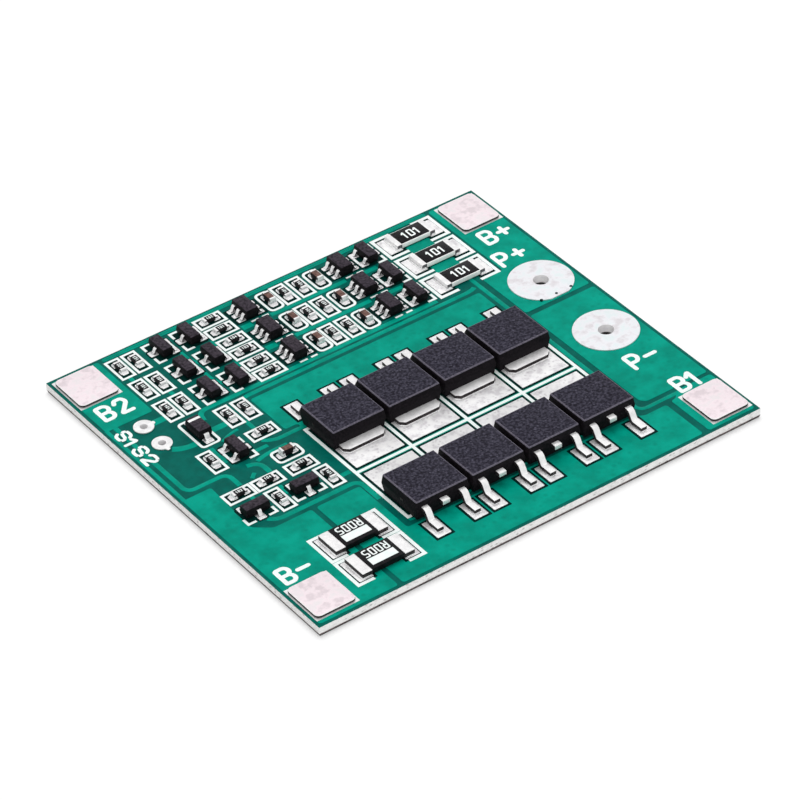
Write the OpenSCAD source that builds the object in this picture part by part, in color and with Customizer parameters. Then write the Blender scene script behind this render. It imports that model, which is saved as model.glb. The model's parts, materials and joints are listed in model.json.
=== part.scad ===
// Battery management board for a small pack of cells in series. A bare laminate
// carries four weld tabs for the cells, two drilled wire pads for the output, two
// rows of power transistors, two shunts, three balance resistors and the small
// parts of the protection and balance circuits.
// +X runs along the long edge, +Y to the back edge with the cell rows, +Z up from
// the underside. The origin is the middle of the underside.

/* [Board] */
// Length of the laminate along X
board_l = 55; // [54:0.5:75]
// Width of the laminate along Y
board_w = 50; // [49.5:0.5:70]
// Thickness of the laminate
board_t = 1.2; // [0.8:0.1:2]
// Thickness of a tinned copper land
land_t = 0.05; // [0.03:0.01:0.1]

/* [Weld tabs] */
// Width of a weld tab along X
tab_w = 4.8; // [3.6:0.1:5.2]
// Length of a weld tab along Y
tab_l = 5.5; // [4:0.1:5.8]
// Thickness of a weld tab
tab_t = 0.3; // [0.15:0.05:0.6]
// Corner radius of a weld tab
tab_r = 0.6; // [0.2:0.1:1.2]
// Gap from a weld tab to the short edge of the board
tab_edge = 0.5; // [0.3:0.1:0.8]
// Gap from a back weld tab to the back edge
tab_back = 0.7; // [0.4:0.1:1.2]
// Gap from a front weld tab to the front edge
tab_front = 1; // [0.4:0.1:1.5]

/* [Wire pads] */
// Diameter of an output wire pad
wire_pad_d = 7.15; // [5:0.05:7.6]
// Thickness of the tinned ring above the laminate
wire_pad_t = 0.12; // [0.06:0.02:0.3]
// Finished diameter of the wire hole
wire_hole_d = 1.8; // [1:0.1:3]
// Gap from a wire pad to the right edge of the board
wire_pad_edge = 0.6; // [0.3:0.1:1]
// Height of the positive pad's centre above the middle of the board
plus_y = 6.75; // [5:0.25:7.5]
// Distance between the centres of the two wire pads
wire_pad_pitch = 11.35; // [9:0.05:12]
// Distance from the centre of the positive pad to its straight side
pad_flat = 3.4; // [2.5:0.1:3.5]

/* [Switch pads] */
// Diameter of a switch wire ring
switch_ring_d = 2.2; // [1.6:0.1:2.8]
// Finished diameter of the switch wire hole
switch_hole_d = 0.9; // [0.6:0.05:1.1]
// Distance from the left edge of the board to the switch rings
switch_edge = 3.9; // [3:0.1:4.5]
// Height of the first ring above the middle of the board
switch_y = 12.25; // [11:0.25:13]
// Distance between the two rings
switch_pitch = 3.45; // [3:0.05:4.5]

/* [Power transistors] */
// Width of the moulded body along X
fet_w = 6.6; // [5.8:0.1:6.8]
// Length of the moulded body along Y
fet_l = 6.1; // [5.6:0.1:6.6]
// Height of the body
fet_h = 2.3; // [2:0.05:2.8]
// Gap between two neighbouring bodies
fet_gap = 0.4; // [0.3:0.05:0.6]
// Distance from the line between the rows to the drain tabs
fet_tab_gap = 3; // [2:0.1:3.2]
// Middle of the block of power transistors along X
fet_mid_x = 3.1; // [2.6:0.1:3.6]
// Line between the two rows of power transistors
fet_line_y = -7.65; // [-8.2:0.05:-7.3]
// Width of the drain tab
drain_w = 5.2; // [4.4:0.1:5.4]
// Thickness of the drain tab
drain_t = 0.5; // [0.4:0.05:0.7]
// Length of the drain tab outside the body
drain_out = 1.15; // [0.8:0.05:1.6]
// Chamfer on the corners of the drain tab
drain_chamfer = 0.5; // [0.2:0.05:0.9]
// Distance of each outer lead from the middle of the body
fet_lead_x = 2.285; // [2:0.005:2.5]
// Width of an outer lead
fet_lead_w = 0.76; // [0.6:0.02:0.9]
// Thickness of a lead
fet_lead_t = 0.5; // [0.4:0.02:0.6]
// Height of the middle of a lead where it leaves the body
fet_lead_z = 1.3; // [1.1:0.05:1.4]
// Reach of a lead from the body to its tip
fet_lead_out = 2.7; // [2.2:0.05:2.9]
// Length of the clipped middle lead outside the body
fet_stub_out = 0.6; // [0.3:0.05:0.9]

/* [Small packages] */
// Length of a three-lead transistor body
sot_l = 2.9; // [2.7:0.05:3.1]
// Width of a three-lead transistor body
sot_w = 1.3; // [1.2:0.05:1.5]
// Height of a three-lead transistor body
sot_h = 1; // [0.85:0.05:1.15]
// Length of a six-lead circuit body
ic_l = 2.9; // [2.8:0.05:3.1]
// Width of a six-lead circuit body
ic_w = 1.6; // [1.5:0.05:1.75]
// Height of a six-lead circuit body
ic_h = 1.1; // [0.9:0.05:1.25]
// Pitch of the leads of both packages
lead_pitch = 0.95; // [0.85:0.05:1]
// Width of a small lead
lead_w = 0.4; // [0.3:0.02:0.5]
// Thickness of a small lead
lead_t = 0.13; // [0.1:0.01:0.18]
// Reach of a small lead from the body to its tip
lead_out = 0.58; // [0.5:0.01:0.65]
// Air gap under a small body
stand_off = 0.06; // [0.02:0.01:0.12]
// Length of the diode's body
diode_l = 2.7; // [2.4:0.05:2.9]
// Width of the diode's body
diode_w = 1.6; // [1.4:0.05:1.8]
// Height of the diode's body
diode_h = 1.1; // [0.9:0.05:1.3]

/* [Chip parts] */
// Length of a chip resistor or capacitor
chip_l = 1.6; // [1.5:0.05:1.75]
// Width of a chip resistor or capacitor
chip_w = 0.8; // [0.7:0.05:0.9]
// Height of a chip resistor
chip_h = 0.45; // [0.35:0.05:0.6]
// Height of a chip capacitor
cap_h = 0.8; // [0.6:0.05:0.9]
// Length of each end cap of a chip
chip_end = 0.3; // [0.2:0.05:0.4]

/* [Power resistors] */
// Length of a balance resistor
bal_l = 5; // [4.6:0.1:5.3]
// Width of a balance resistor
bal_w = 2.5; // [2.2:0.1:2.8]
// Height of a balance resistor
bal_h = 0.6; // [0.5:0.05:0.8]
// Length of each end of a balance resistor
bal_end = 0.65; // [0.4:0.05:0.8]
// Length of a shunt
shunt_l = 6.35; // [6:0.05:6.6]
// Width of a shunt
shunt_w = 3.2; // [3:0.1:3.5]
// Height of a shunt
shunt_h = 0.7; // [0.6:0.05:0.9]
// Length of each end of a shunt
shunt_end = 1.2; // [0.9:0.05:1.5]

/* [Hidden] */
$fn = 48;
bend_steps = 4;

fet_columns = 4;
cell_rows = 3;
shunts = 2;

// height of the lands' top faces, on which every part is soldered
seat_z = board_t + land_t;

tab_x = board_l / 2 - tab_edge - tab_w / 2;
tab_back_y = board_w / 2 - tab_back - tab_l / 2;
tab_front_y = -board_w / 2 + tab_front + tab_l / 2;

wire_pad_x = board_l / 2 - wire_pad_edge - wire_pad_d / 2;
minus_y = plus_y - wire_pad_pitch;
switch_x = -board_l / 2 + switch_edge;

fet_pitch = fet_w + fet_gap;
fet_draft = 8;
fet_lead_in = 0.7;
fet_stub_w = 0.9;
fet_bend = 0.45;
fet_run = 0.35;
fet_slope = 75;
drain_under = 4.2;
fet_mid_y = fet_tab_gap + drain_out + fet_l / 2;

small_draft = 8;
small_lead_in = 0.25;
small_bend = 0.14;
small_run = 0.06;
small_slope = 80;
diode_lead_w = 0.6;

// how far the ends of a chip stand proud of its body, and a shunt's coat of its ends
chip_wrap = 0.03;
coat_t = 0.05;

// The small parts stand on a layout grid that spreads with the board: a step is half
// a millimetre on a board of 55 x 50. Each place is x and y in steps and a turn.
step_x = board_l / 110;
step_y = board_w / 100;
function on_grid(places) = [for (p = places) [p[0] * step_x, p[1] * step_y, p[2]]];

// rows of the three cells, from the back edge to the front
rows = [for (cell = [0:cell_rows - 1]) 44.2 - 9.1 * cell];
chip_resistor_at = on_grid(concat(
    [for (x = [-40.3, -36.3, 1.4, 5.5], y = rows) [x, y, 90]],
    [for (y = rows, side = [-1, 1]) [-16.3, y + 2.2 * side, 0]],
    [[-31.5, 16.4, 90], [-27.3, 16.4, 90], [-42.6, 6, 90]],
    [[-29, 7.8, 0], [-44.2, -6.2, 0], [-37.2, -6.2, 0], [-29, -6.2, 0]],
    [[-38.5, -12.6, 90], [-26.5, -12.6, 90]]));
chip_capacitor_at = on_grid(concat(
    [for (x = [-2.5, 9.8], y = rows) [x, y, 90]],
    [[-29, -1.2, 0]]));
// turn 0 puts the single lead of a transistor at -X and its pair at +X
transistor_at = on_grid(concat(
    [for (x = [-30, -23], y = rows) [x, y, 0]],
    [for (y = rows) [22.8, y, 180]],
    [[-36.6, 5.8, 180], [-44.6, -12.6, 90], [-32.6, -12.6, 90]]));
protection_ic_at = on_grid([for (y = rows) [-8.6, y, 0]]);
balance_ic_at = on_grid([for (y = rows) [15.9, y, 0]]);
balance_resistor_at = on_grid([for (y = rows) [34.2, y - 0.2, 0]]);
diode_at = on_grid([[-39.2, 16, 90]])[0];
shunt_at = on_grid([for (i = [0:shunts - 1]) [-33.7, -31.3 - 9.1 * i, 0]]);

// power transistors 1 to 4 stand in the back row, 5 to 8 in the front row
fet_at = [for (side = [1, -1], column = [0:fet_columns - 1])
    [fet_mid_x + (column - (fet_columns - 1) / 2) * fet_pitch,
     fet_line_y + side * fet_mid_y,
     side > 0 ? 180 : 0]];

// sizes of the lands round each kind of part
fet_land_w = 1.7;
fet_land_l = 2.8;
fet_land_past = 0.65;
drain_land_w = 6;
drain_land_gap = 0.6;
chip_land_in = 0.15;
chip_land_past = 0.6;
chip_land_side = 0.08;
lead_land_past = 0.28;
lead_land_l = 0.95;
lead_land_side = 0.1;
sot_land_side = 0.25;
power_land_past = 1;
power_land_side = 0.15;

// ---- helpers ----

// puts a part at its place on the lands
module place(at) translate([at[0], at[1], seat_z]) rotate([0, 0, at[2]]) children();

// puts a flat shape at its place on the laminate
module place_land(at)
    translate([at[0], at[1], board_t]) rotate([0, 0, at[2]]) linear_extrude(land_t) children();

module rounded_rect(w, l, r) {
    square([w - 2 * r, l], center = true);
    square([w, l - 2 * r], center = true);
    for (x = [-1, 1], y = [-1, 1])
        translate([x * (w / 2 - r), y * (l / 2 - r)]) circle(r);
}

module box_on(w, l, h) translate([-w / 2, -l / 2, 0]) cube([w, l, h]);

// section of a moulded body: widest at the parting line, drawn in above and below
function drafted_section(w, h, part_z, draft) =
    let (low = part_z * tan(draft), high = (h - part_z) * tan(draft))
    [[-w / 2 + low, 0], [w / 2 - low, 0], [w / 2, part_z],
     [w / 2 - high, h], [-w / 2 + high, h], [-w / 2, part_z]];

module moulded_block(w, l, h, part_z, draft) intersection() {
    rotate([90, 0, 0])
        linear_extrude(l, center = true) polygon(drafted_section(w, h, part_z, draft));
    rotate([90, 0, 90])
        linear_extrude(w, center = true) polygon(drafted_section(l, h, part_z, draft));
}

function arc(centre, r, from, to) = [for (i = [0:bend_steps])
    let (a = from + (to - from) * i / bend_steps) centre + r * [cos(a), sin(a)]];

// one side of a formed lead, at a distance from its middle line: out of the body at
// the height z, over a bend, down a slope and round a second bend to the foot
function lead_side(z, thick, out, inside, run, r, slope, off) =
    let (drop = z - thick / 2,
         straight = (drop - 2 * r * (1 - cos(slope))) / sin(slope),
         foot = run + 2 * r * sin(slope) + straight * cos(slope))
    concat([[-inside, z + off]],
           arc([run, z - r], r + off, 90, 90 - slope),
           arc([foot, thick / 2 + r], r - off, 270 - slope, 270),
           [[out, thick / 2 + off]]);

function reversed(list) = [for (i = [len(list) - 1:-1:0]) list[i]];

// a formed lead that leaves a body's side at x = 0 towards +X and stands on z = 0
module formed_lead(width, thick, z, out, inside, run, r, slope)
    rotate([90, 0, 0]) linear_extrude(width, center = true) polygon(concat(
        lead_side(z, thick, out, inside, run, r, slope, thick / 2),
        reversed(lead_side(z, thick, out, inside, run, r, slope, -thick / 2))));

// ---- laminate, tabs and pads ----

module board() color([0, 0.62, 0.53]) difference() {
    translate([-board_l / 2, -board_w / 2, 0]) cube([board_l, board_w, board_t]);
    for (y = [plus_y, minus_y])
        translate([wire_pad_x, y, -1]) cylinder(d = wire_hole_d, h = board_t + 2);
    for (i = [0, 1])
        translate([switch_x, switch_y - i * switch_pitch, -1])
            cylinder(d = switch_hole_d, h = board_t + 2);
}

// a nickel tab, soldered flat on its land for a welded cell strip
module weld_tab(x, y) color([0.84, 0.8, 0.8])
    translate([x, y, seat_z]) linear_extrude(tab_t) rounded_rect(tab_w, tab_l, tab_r);

// a flat shape of tinned copper on the laminate, round a hole
module ring_pad(x, y, hole_d) translate([x, y, board_t]) difference() {
    linear_extrude(wire_pad_t) children();
    translate([0, 0, -1]) cylinder(d = hole_d, h = wire_pad_t + 2);
}

module output_pad_plus() color([0.86, 0.83, 0.83])
    ring_pad(wire_pad_x, plus_y, wire_hole_d) intersection() {
        circle(d = wire_pad_d);
        translate([-wire_pad_d, -pad_flat]) square(2 * wire_pad_d);
    }

module output_pad_minus() color([0.86, 0.83, 0.83])
    ring_pad(wire_pad_x, minus_y, wire_hole_d) circle(d = wire_pad_d);

// a ring with the teardrop where its track joins
module teardrop_ring() {
    r = switch_ring_d / 2;
    circle(r);
    polygon([r * [cos(45), sin(45)], [1.25 * r, 0.2 * r], [1.25 * r, -0.2 * r], r * [cos(45), -sin(45)]]);
}

module switch_pads() color([0.86, 0.85, 0.84]) for (i = [0, 1])
    ring_pad(switch_x, switch_y - i * switch_pitch, switch_hole_d)
        rotate(i * -90) teardrop_ring();

// ---- lands ----

module lead_land(x, y, turn = 0, side = lead_land_side)
    translate([x, y]) rotate(turn) translate([-lead_land_l / 2, 0])
        square([lead_land_l, lead_w + 2 * side], center = true);

module chip_lands() for (end = [-1, 1]) {
    inner = chip_l / 2 - chip_end - chip_land_in;
    outer = chip_l / 2 + chip_land_past;
    translate([end * (inner + outer) / 2, 0])
        square([outer - inner, chip_w + 2 * chip_land_side], center = true);
}

module end_lands(l, w, end) for (side = [-1, 1])
    translate([side * (l / 2 + (power_land_past - end) / 2), 0])
        square([end + power_land_past, w + 2 * power_land_side], center = true);

module transistor_lands() {
    past = sot_w / 2 + lead_out + lead_land_past;
    lead_land(-past, 0, 180, sot_land_side);
    for (y = [-1, 1]) lead_land(past, y * lead_pitch, 0, sot_land_side);
}

module ic_lands() for (end = [-1, 1], y = [-1, 0, 1])
    lead_land(end * (ic_w / 2 + lead_out + lead_land_past), y * lead_pitch, end > 0 ? 0 : 180);

module diode_lands() for (end = [-1, 1])
    translate([end * (diode_l / 2 + lead_out + lead_land_past - lead_land_l / 2), 0])
        square([lead_land_l, diode_lead_w + 4 * lead_land_side], center = true);

module fet_lands() {
    lead_end = fet_l / 2 + fet_lead_out + fet_land_past;
    for (x = [-1, 1]) translate([x * fet_lead_x, -lead_end + fet_land_l / 2])
        square([fet_land_w, fet_land_l], center = true);
    drain_from = fet_mid_y - drain_land_gap;
    drain_to = -fet_l / 2 + drain_out;
    translate([-drain_land_w / 2, drain_to]) square([drain_land_w, drain_from - drain_to]);
}

module power_lands() color([0.88, 0.87, 0.86]) {
    for (x = [-1, 1], y = [tab_back_y, tab_front_y])
        place_land([x * tab_x, y, 0]) rounded_rect(tab_w, tab_l, tab_r);
    for (at = fet_at) place_land(at) fet_lands();
    for (at = balance_resistor_at) place_land(at) end_lands(bal_l, bal_w, bal_end);
    for (at = shunt_at) place_land(at) end_lands(shunt_l, shunt_w, shunt_end);
}

module signal_lands() color([0.88, 0.87, 0.86]) {
    for (at = chip_resistor_at) place_land(at) chip_lands();
    for (at = chip_capacitor_at) place_land(at) chip_lands();
    for (at = transistor_at) place_land(at) transistor_lands();
    for (at = protection_ic_at) place_land(at) ic_lands();
    for (at = balance_ic_at) place_land(at) ic_lands();
    place_land(diode_at) diode_lands();
}

// ---- power transistors ----

// drain tab with its clipped middle lead, one stamped piece; leads point to -Y
module drain_piece() {
    stub_end = -fet_l / 2 - fet_stub_out;
    tab_end = fet_l / 2 + drain_out;
    tab_in = fet_l / 2 - drain_under;
    linear_extrude(drain_t) polygon([
        [-drain_w / 2, tab_in], [drain_w / 2, tab_in],
        [drain_w / 2, tab_end - drain_chamfer], [drain_w / 2 - drain_chamfer, tab_end],
        [-drain_w / 2 + drain_chamfer, tab_end], [-drain_w / 2, tab_end - drain_chamfer]]);
    low = fet_lead_z - fet_lead_t / 2;
    high = fet_lead_z + fet_lead_t / 2;
    rotate([90, 0, 90]) linear_extrude(fet_stub_w, center = true) polygon([
        [stub_end, low], [-fet_l / 2 + fet_lead_in, low], [tab_in, drain_t / 2],
        [tab_in + fet_lead_t, drain_t / 2], [tab_in + fet_lead_t, drain_t],
        [-fet_l / 2 + fet_lead_in + fet_lead_t, high], [stub_end, high]]);
}

module fet_leadframe() {
    drain_piece();
    for (x = [-1, 1]) translate([x * fet_lead_x, -fet_l / 2, 0]) rotate([0, 0, -90])
        formed_lead(fet_lead_w, fet_lead_t, fet_lead_z, fet_lead_out, fet_lead_in,
                    fet_run, fet_bend, fet_slope);
}

module mosfet_leadframe(i) color([0.85, 0.85, 0.86]) place(fet_at[i]) fet_leadframe();

module mosfet_body(i) color([0.2, 0.17, 0.2]) place(fet_at[i]) difference() {
    moulded_block(fet_w, fet_l, fet_h, fet_lead_z, fet_draft);
    fet_leadframe();
}

// ---- six-lead circuits ----

module ic_lead_set() {
    middle = stand_off + ic_h / 2;
    for (end = [0, 180], y = [-1, 0, 1]) rotate([0, 0, end])
        translate([ic_w / 2, y * lead_pitch, 0])
            formed_lead(lead_w, lead_t, middle, lead_out, small_lead_in,
                        small_run, small_bend, small_slope);
}

module ic_leads(at) color([0.86, 0.86, 0.86]) place(at) ic_lead_set();

module ic_body(at) color([0.17, 0.15, 0.16]) place(at) difference() {
    translate([0, 0, stand_off]) moulded_block(ic_w, ic_l, ic_h, ic_h / 2, small_draft);
    ic_lead_set();
}

// ---- three-lead transistors ----

module transistor_lead_set() {
    middle = stand_off + sot_h / 2;
    for (lead = [[180, 0], [0, -lead_pitch], [0, lead_pitch]]) rotate([0, 0, lead[0]])
        translate([sot_w / 2, lead[1], 0])
            formed_lead(lead_w, lead_t, middle, lead_out, small_lead_in,
                        small_run, small_bend, small_slope);
}

module transistor_leads() color([0.86, 0.86, 0.86])
    for (at = transistor_at) place(at) transistor_lead_set();

module transistor_body(i) color([0.15, 0.13, 0.14]) place(transistor_at[i]) difference() {
    translate([0, 0, stand_off]) moulded_block(sot_w, sot_l, sot_h, sot_h / 2, small_draft);
    transistor_lead_set();
}

// ---- diode ----

module diode_lead_set() for (end = [0, 180]) rotate([0, 0, end])
    translate([diode_l / 2, 0, 0])
        formed_lead(diode_lead_w, lead_t, stand_off + diode_h / 2, lead_out, small_lead_in,
                    small_run, small_bend, small_slope);

module diode_leads() color([0.86, 0.86, 0.86]) place(diode_at) diode_lead_set();

module diode_body() color([0.1, 0.1, 0.11]) place(diode_at) difference() {
    translate([0, 0, stand_off])
        moulded_block(diode_l, diode_w, diode_h, diode_h / 2, small_draft);
    diode_lead_set();
}

// ---- chips and power resistors ----

// a core between two end caps that wrap round it by a hair
module capped_chip(l, w, h, end, wrap, cap_colour, core_colour) {
    color(core_colour) translate([0, 0, wrap]) box_on(l - 2 * wrap, w - 2 * wrap, h - 2 * wrap);
    color(cap_colour) for (side = [-1, 1])
        translate([side * (l - end) / 2, 0, 0]) box_on(end, w, h);
}

module chip_resistors() for (at = chip_resistor_at) place(at)
    capped_chip(chip_l, chip_w, chip_h, chip_end, chip_wrap, [0.86, 0.86, 0.86], [0.1, 0.1, 0.1]);

module chip_capacitors() for (at = chip_capacitor_at) place(at)
    capped_chip(chip_l, chip_w, cap_h, chip_end, chip_wrap, [0.86, 0.86, 0.86], [0.6, 0.45, 0.32]);

// a white ceramic slab with wrapped ends and a dark coat on its top
module balance_resistor(i) place(balance_resistor_at[i]) {
    capped_chip(bal_l, bal_w, bal_h, bal_end, chip_wrap, [0.87, 0.87, 0.87], [0.9, 0.9, 0.88]);
    color([0.08, 0.08, 0.09]) translate([0, 0, bal_h / 2])
        box_on(bal_l - 2 * bal_end, bal_w - 4 * chip_wrap, bal_h / 2);
}

// bent metal ends and a moulded coat that stands a little above them
module shunt_resistor(i) place(shunt_at[i]) {
    color([0.87, 0.86, 0.85]) for (side = [-1, 1])
        translate([side * (shunt_l - shunt_end) / 2, 0, 0])
            box_on(shunt_end, shunt_w, shunt_h - coat_t);
    color([0.08, 0.08, 0.09]) translate([0, 0, coat_t])
        box_on(shunt_l - 2 * shunt_end, shunt_w - 4 * chip_wrap, shunt_h - coat_t);
}

// ---- nodes ----

board();
weld_tab(-tab_x, tab_front_y);  // weld_tab_b_minus
weld_tab(tab_x, tab_front_y);  // weld_tab_b1
weld_tab(-tab_x, tab_back_y);  // weld_tab_b2
weld_tab(tab_x, tab_back_y);  // weld_tab_b_plus
output_pad_plus();
output_pad_minus();
switch_pads();
power_lands();
signal_lands();
for (i = [1:len(fet_at)]) {
    mosfet_body(i - 1);
    mosfet_leadframe(i - 1);
}
for (i = [1:cell_rows]) {
    ic_body(protection_ic_at[i - 1]);
    ic_leads(protection_ic_at[i - 1]);
    ic_body(balance_ic_at[i - 1]);
    ic_leads(balance_ic_at[i - 1]);
    balance_resistor(i - 1);
}
for (i = [1:len(transistor_at)])
    transistor_body(i - 1);
transistor_leads();
diode_body();
diode_leads();
for (i = [1:shunts])
    shunt_resistor(i - 1);
chip_resistors();
chip_capacitors();
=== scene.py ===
# Battery management board: the built part with its laminate, copper, mask, white
# print, solder and finishes. Sizes are in metres, mm turns millimetres into them.
import json
import math

import bpy
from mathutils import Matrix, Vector


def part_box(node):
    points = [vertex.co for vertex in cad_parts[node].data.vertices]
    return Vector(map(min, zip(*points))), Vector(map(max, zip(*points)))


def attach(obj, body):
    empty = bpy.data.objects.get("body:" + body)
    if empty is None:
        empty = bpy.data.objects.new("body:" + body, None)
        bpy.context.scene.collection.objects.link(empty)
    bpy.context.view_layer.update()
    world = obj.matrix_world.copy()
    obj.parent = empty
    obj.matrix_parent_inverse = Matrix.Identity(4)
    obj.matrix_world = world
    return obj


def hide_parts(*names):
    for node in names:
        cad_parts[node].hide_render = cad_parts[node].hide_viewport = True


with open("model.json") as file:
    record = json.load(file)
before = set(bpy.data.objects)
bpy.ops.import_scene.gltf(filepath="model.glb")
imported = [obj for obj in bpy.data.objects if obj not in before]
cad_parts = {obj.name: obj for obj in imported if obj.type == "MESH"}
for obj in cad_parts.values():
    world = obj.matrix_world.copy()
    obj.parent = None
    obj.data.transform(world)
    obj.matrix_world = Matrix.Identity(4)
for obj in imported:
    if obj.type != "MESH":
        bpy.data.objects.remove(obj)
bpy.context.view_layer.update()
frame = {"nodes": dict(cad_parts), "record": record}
nodes = frame["nodes"]
mm = 0.001
hair = 0.01 * mm  # nearer than this counts as touching
sameSpot = 0.0005 * mm  # points nearer than this become one
steep = 0.9  # a direction with this much of an axis runs along it
slant = 0.5  # with less than this it runs more across the axis than along it
flat = 0.1  # with less than this it lies across the axis
cornerSteps, strokeSteps, bendSteps = 4, 5, 5
holeSides = 64
print("frame loaded,", len(nodes), "nodes")


# hand tools

def pick(*pieces):  # these pieces are selected and nothing else
    if bpy.context.mode != "OBJECT":
        bpy.ops.object.mode_set(mode="OBJECT")
    bpy.ops.object.select_all(action="DESELECT")
    for piece in pieces:
        piece.select_set(True)
    if pieces:
        bpy.context.view_layer.objects.active = pieces[0]


def settle(*pieces):  # place, turn and size go into the mesh
    pick(*pieces)
    bpy.ops.object.transform_apply(location=True, rotation=True, scale=True)
    return pieces[0]


def movedTo(piece, at):
    piece.location = at
    return settle(piece)


def named(name):  # the piece just made
    piece = bpy.context.object
    piece.name = piece.data.name = name
    return piece


def editAll(piece, kind="FACE"):  # into edit mode with the whole mesh selected
    pick(piece)
    bpy.ops.object.mode_set(mode="EDIT")
    bpy.ops.mesh.select_mode(type=kind)
    bpy.ops.mesh.select_all(action="SELECT")


def pickFaces(piece, test):  # faces by their middle and normal
    editAll(piece)
    bpy.ops.mesh.select_all(action="DESELECT")
    bpy.ops.object.mode_set(mode="OBJECT")
    for face in piece.data.polygons:
        face.select = bool(test(face.center, face.normal))
    bpy.ops.object.mode_set(mode="EDIT")


def pickEdges(piece, test):  # edges by their middle and direction
    editAll(piece, "EDGE")
    bpy.ops.mesh.select_all(action="DESELECT")
    bpy.ops.object.mode_set(mode="OBJECT")
    spots = piece.data.vertices
    for edge in piece.data.edges:
        start, end = (spots[i].co for i in edge.vertices)
        edge.select = bool(test((start + end) / 2, (end - start).normalized()))
    bpy.ops.object.mode_set(mode="EDIT")


def standing(middle, way):  # an upright edge
    return abs(way.z) > steep


def closeUp():  # the whole mesh in hand gets one skin that faces outwards
    bpy.ops.mesh.select_all(action="SELECT")
    bpy.ops.mesh.remove_doubles(threshold=sameSpot)
    bpy.ops.mesh.normals_make_consistent(inside=False)


def extrude(shift):
    bpy.ops.mesh.extrude_region_move(TRANSFORM_OT_translate={"value": shift})


def remove(*pieces):
    pick(*pieces)
    bpy.ops.object.delete()


def join(name, pieces):
    pick(*pieces)
    bpy.ops.object.join()
    return named(name)


def block(name, low, high):
    pick()
    low, high = Vector(low), Vector(high)
    bpy.ops.mesh.primitive_cube_add(size=1, location=(low + high) / 2)
    piece = named(name)
    piece.scale = high - low
    return settle(piece)


def rod(name, centre, radius, bottom, top, sides=48):
    pick()
    bpy.ops.mesh.primitive_cylinder_add(vertices=sides, radius=radius, depth=top - bottom,
                                        location=(centre[0], centre[1], (bottom + top) / 2))
    return settle(named(name))


def loop(name, points, fill="NOTHING"):  # a closed wire through these points, or a face with NGON
    pick()
    bpy.ops.mesh.primitive_circle_add(vertices=len(points), radius=mm, fill_type=fill)
    piece = named(name)
    for spot, point in zip(piece.data.vertices, points):
        spot.co = point
    return piece


def rectangle(low, high, inset=0.0):
    return [(low.x + inset, low.y + inset), (high.x - inset, low.y + inset),
            (high.x - inset, high.y - inset), (low.x + inset, high.y - inset)]


def plate(name, outline, bottom, top, corner=0.0, holes=()):  # an outline, rounded and pierced
    piece = loop(name, [(x, y, bottom) for x, y in outline])
    editAll(piece, "VERT")
    if corner:
        bpy.ops.mesh.bevel(offset=corner, segments=cornerSteps, affect="VERTICES")
    for centre, radius in holes:
        bpy.ops.mesh.primitive_circle_add(vertices=holeSides, radius=radius,
                                          location=(centre[0], centre[1], bottom))
    bpy.ops.mesh.select_all(action="SELECT")
    if holes:
        bpy.ops.mesh.fill(use_beauty=False)
    else:
        bpy.ops.mesh.edge_face_add()
    bpy.ops.mesh.select_all(action="SELECT")
    extrude((0, 0, top - bottom))
    bpy.ops.mesh.select_all(action="SELECT")
    bpy.ops.mesh.normals_make_consistent(inside=False)
    pick(piece)
    return piece


def turned(name, profile):  # a closed profile of radius and height, turned round Z
    piece = loop(name, [(radius, 0, height) for radius, height in profile])
    editAll(piece, "EDGE")
    bpy.ops.mesh.spin(steps=holeSides, angle=2 * math.pi, center=(0, 0, 0), axis=(0, 0, 1))
    closeUp()
    pick(piece)
    return piece


def smooth(piece, angle=35):
    pick(piece)
    bpy.ops.object.shade_smooth_by_angle(angle=math.radians(angle))
    return piece


def soften(piece, width, segments=2, angle=40):  # rounded edges
    pick(piece)
    edges = piece.modifiers.new("Soft edges", "BEVEL")
    edges.width = width
    edges.segments = segments
    edges.limit_method = "ANGLE"
    edges.angle_limit = math.radians(angle)
    bpy.ops.object.modifier_apply(modifier=edges.name)
    return smooth(piece)


def cut(piece, cutter):
    hole = piece.modifiers.new("Cut", "BOOLEAN")
    hole.operation = "DIFFERENCE"
    hole.solver = "EXACT"
    hole.object = cutter
    pick(piece)
    bpy.ops.object.modifier_apply(modifier=hole.name)
    remove(cutter)
    return smooth(piece)


def copyOf(pattern, at=(0, 0, 0), turn=0):
    pick(pattern)
    bpy.ops.object.duplicate(linked=False)
    piece = bpy.context.object
    piece.location = at
    piece.rotation_euler.z = math.radians(turn)
    return piece


def copyTo(pattern, name, at, turn=0):
    copyOf(pattern, at, turn)
    return settle(named(name))


def spread(pattern, name, places):  # one copy of the pattern at each place, joined
    copies = [copyOf(pattern, at, turn) for at, turn in places]
    settle(*copies)
    remove(pattern)
    return join(name, copies)


def paint(piece, material):
    piece.data.materials.clear()
    piece.data.materials.append(material)
    return piece


def trim(piece, material, test):  # a second finish on the faces that pass
    piece.data.materials.append(material)
    last = len(piece.data.materials) - 1
    for face in piece.data.polygons:
        if test(face.center, face.normal):
            face.material_index = last
    return piece


def dress(piece, slot, *replaced):
    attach(piece, "root")
    if replaced:
        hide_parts(*replaced)
    return piece


def solidsOf(node):  # lowest and highest corner of each separate solid in a node
    pick(nodes[node])
    bpy.ops.object.duplicate(linked=False)
    editAll(bpy.context.object, "VERT")
    bpy.ops.mesh.remove_doubles(threshold=2 * sameSpot)
    bpy.ops.mesh.separate(type="LOOSE")
    bpy.ops.object.mode_set(mode="OBJECT")
    parts = list(bpy.context.selected_objects)
    corners = []
    for part in parts:
        spots = [spot.co for spot in part.data.vertices]
        corners.append((Vector([min(s[i] for s in spots) for i in range(3)]),
                        Vector([max(s[i] for s in spots) for i in range(3)])))
    remove(*parts)
    return sorted(corners, key=lambda c: [round(v / mm, 2) for v in c[0]])


def mid(corners):
    return (corners[0] + corners[1]) / 2


def holds(corners, point):  # seen from above
    return all(corners[0][i] < point[i] < corners[1][i] for i in (0, 1))


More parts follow.
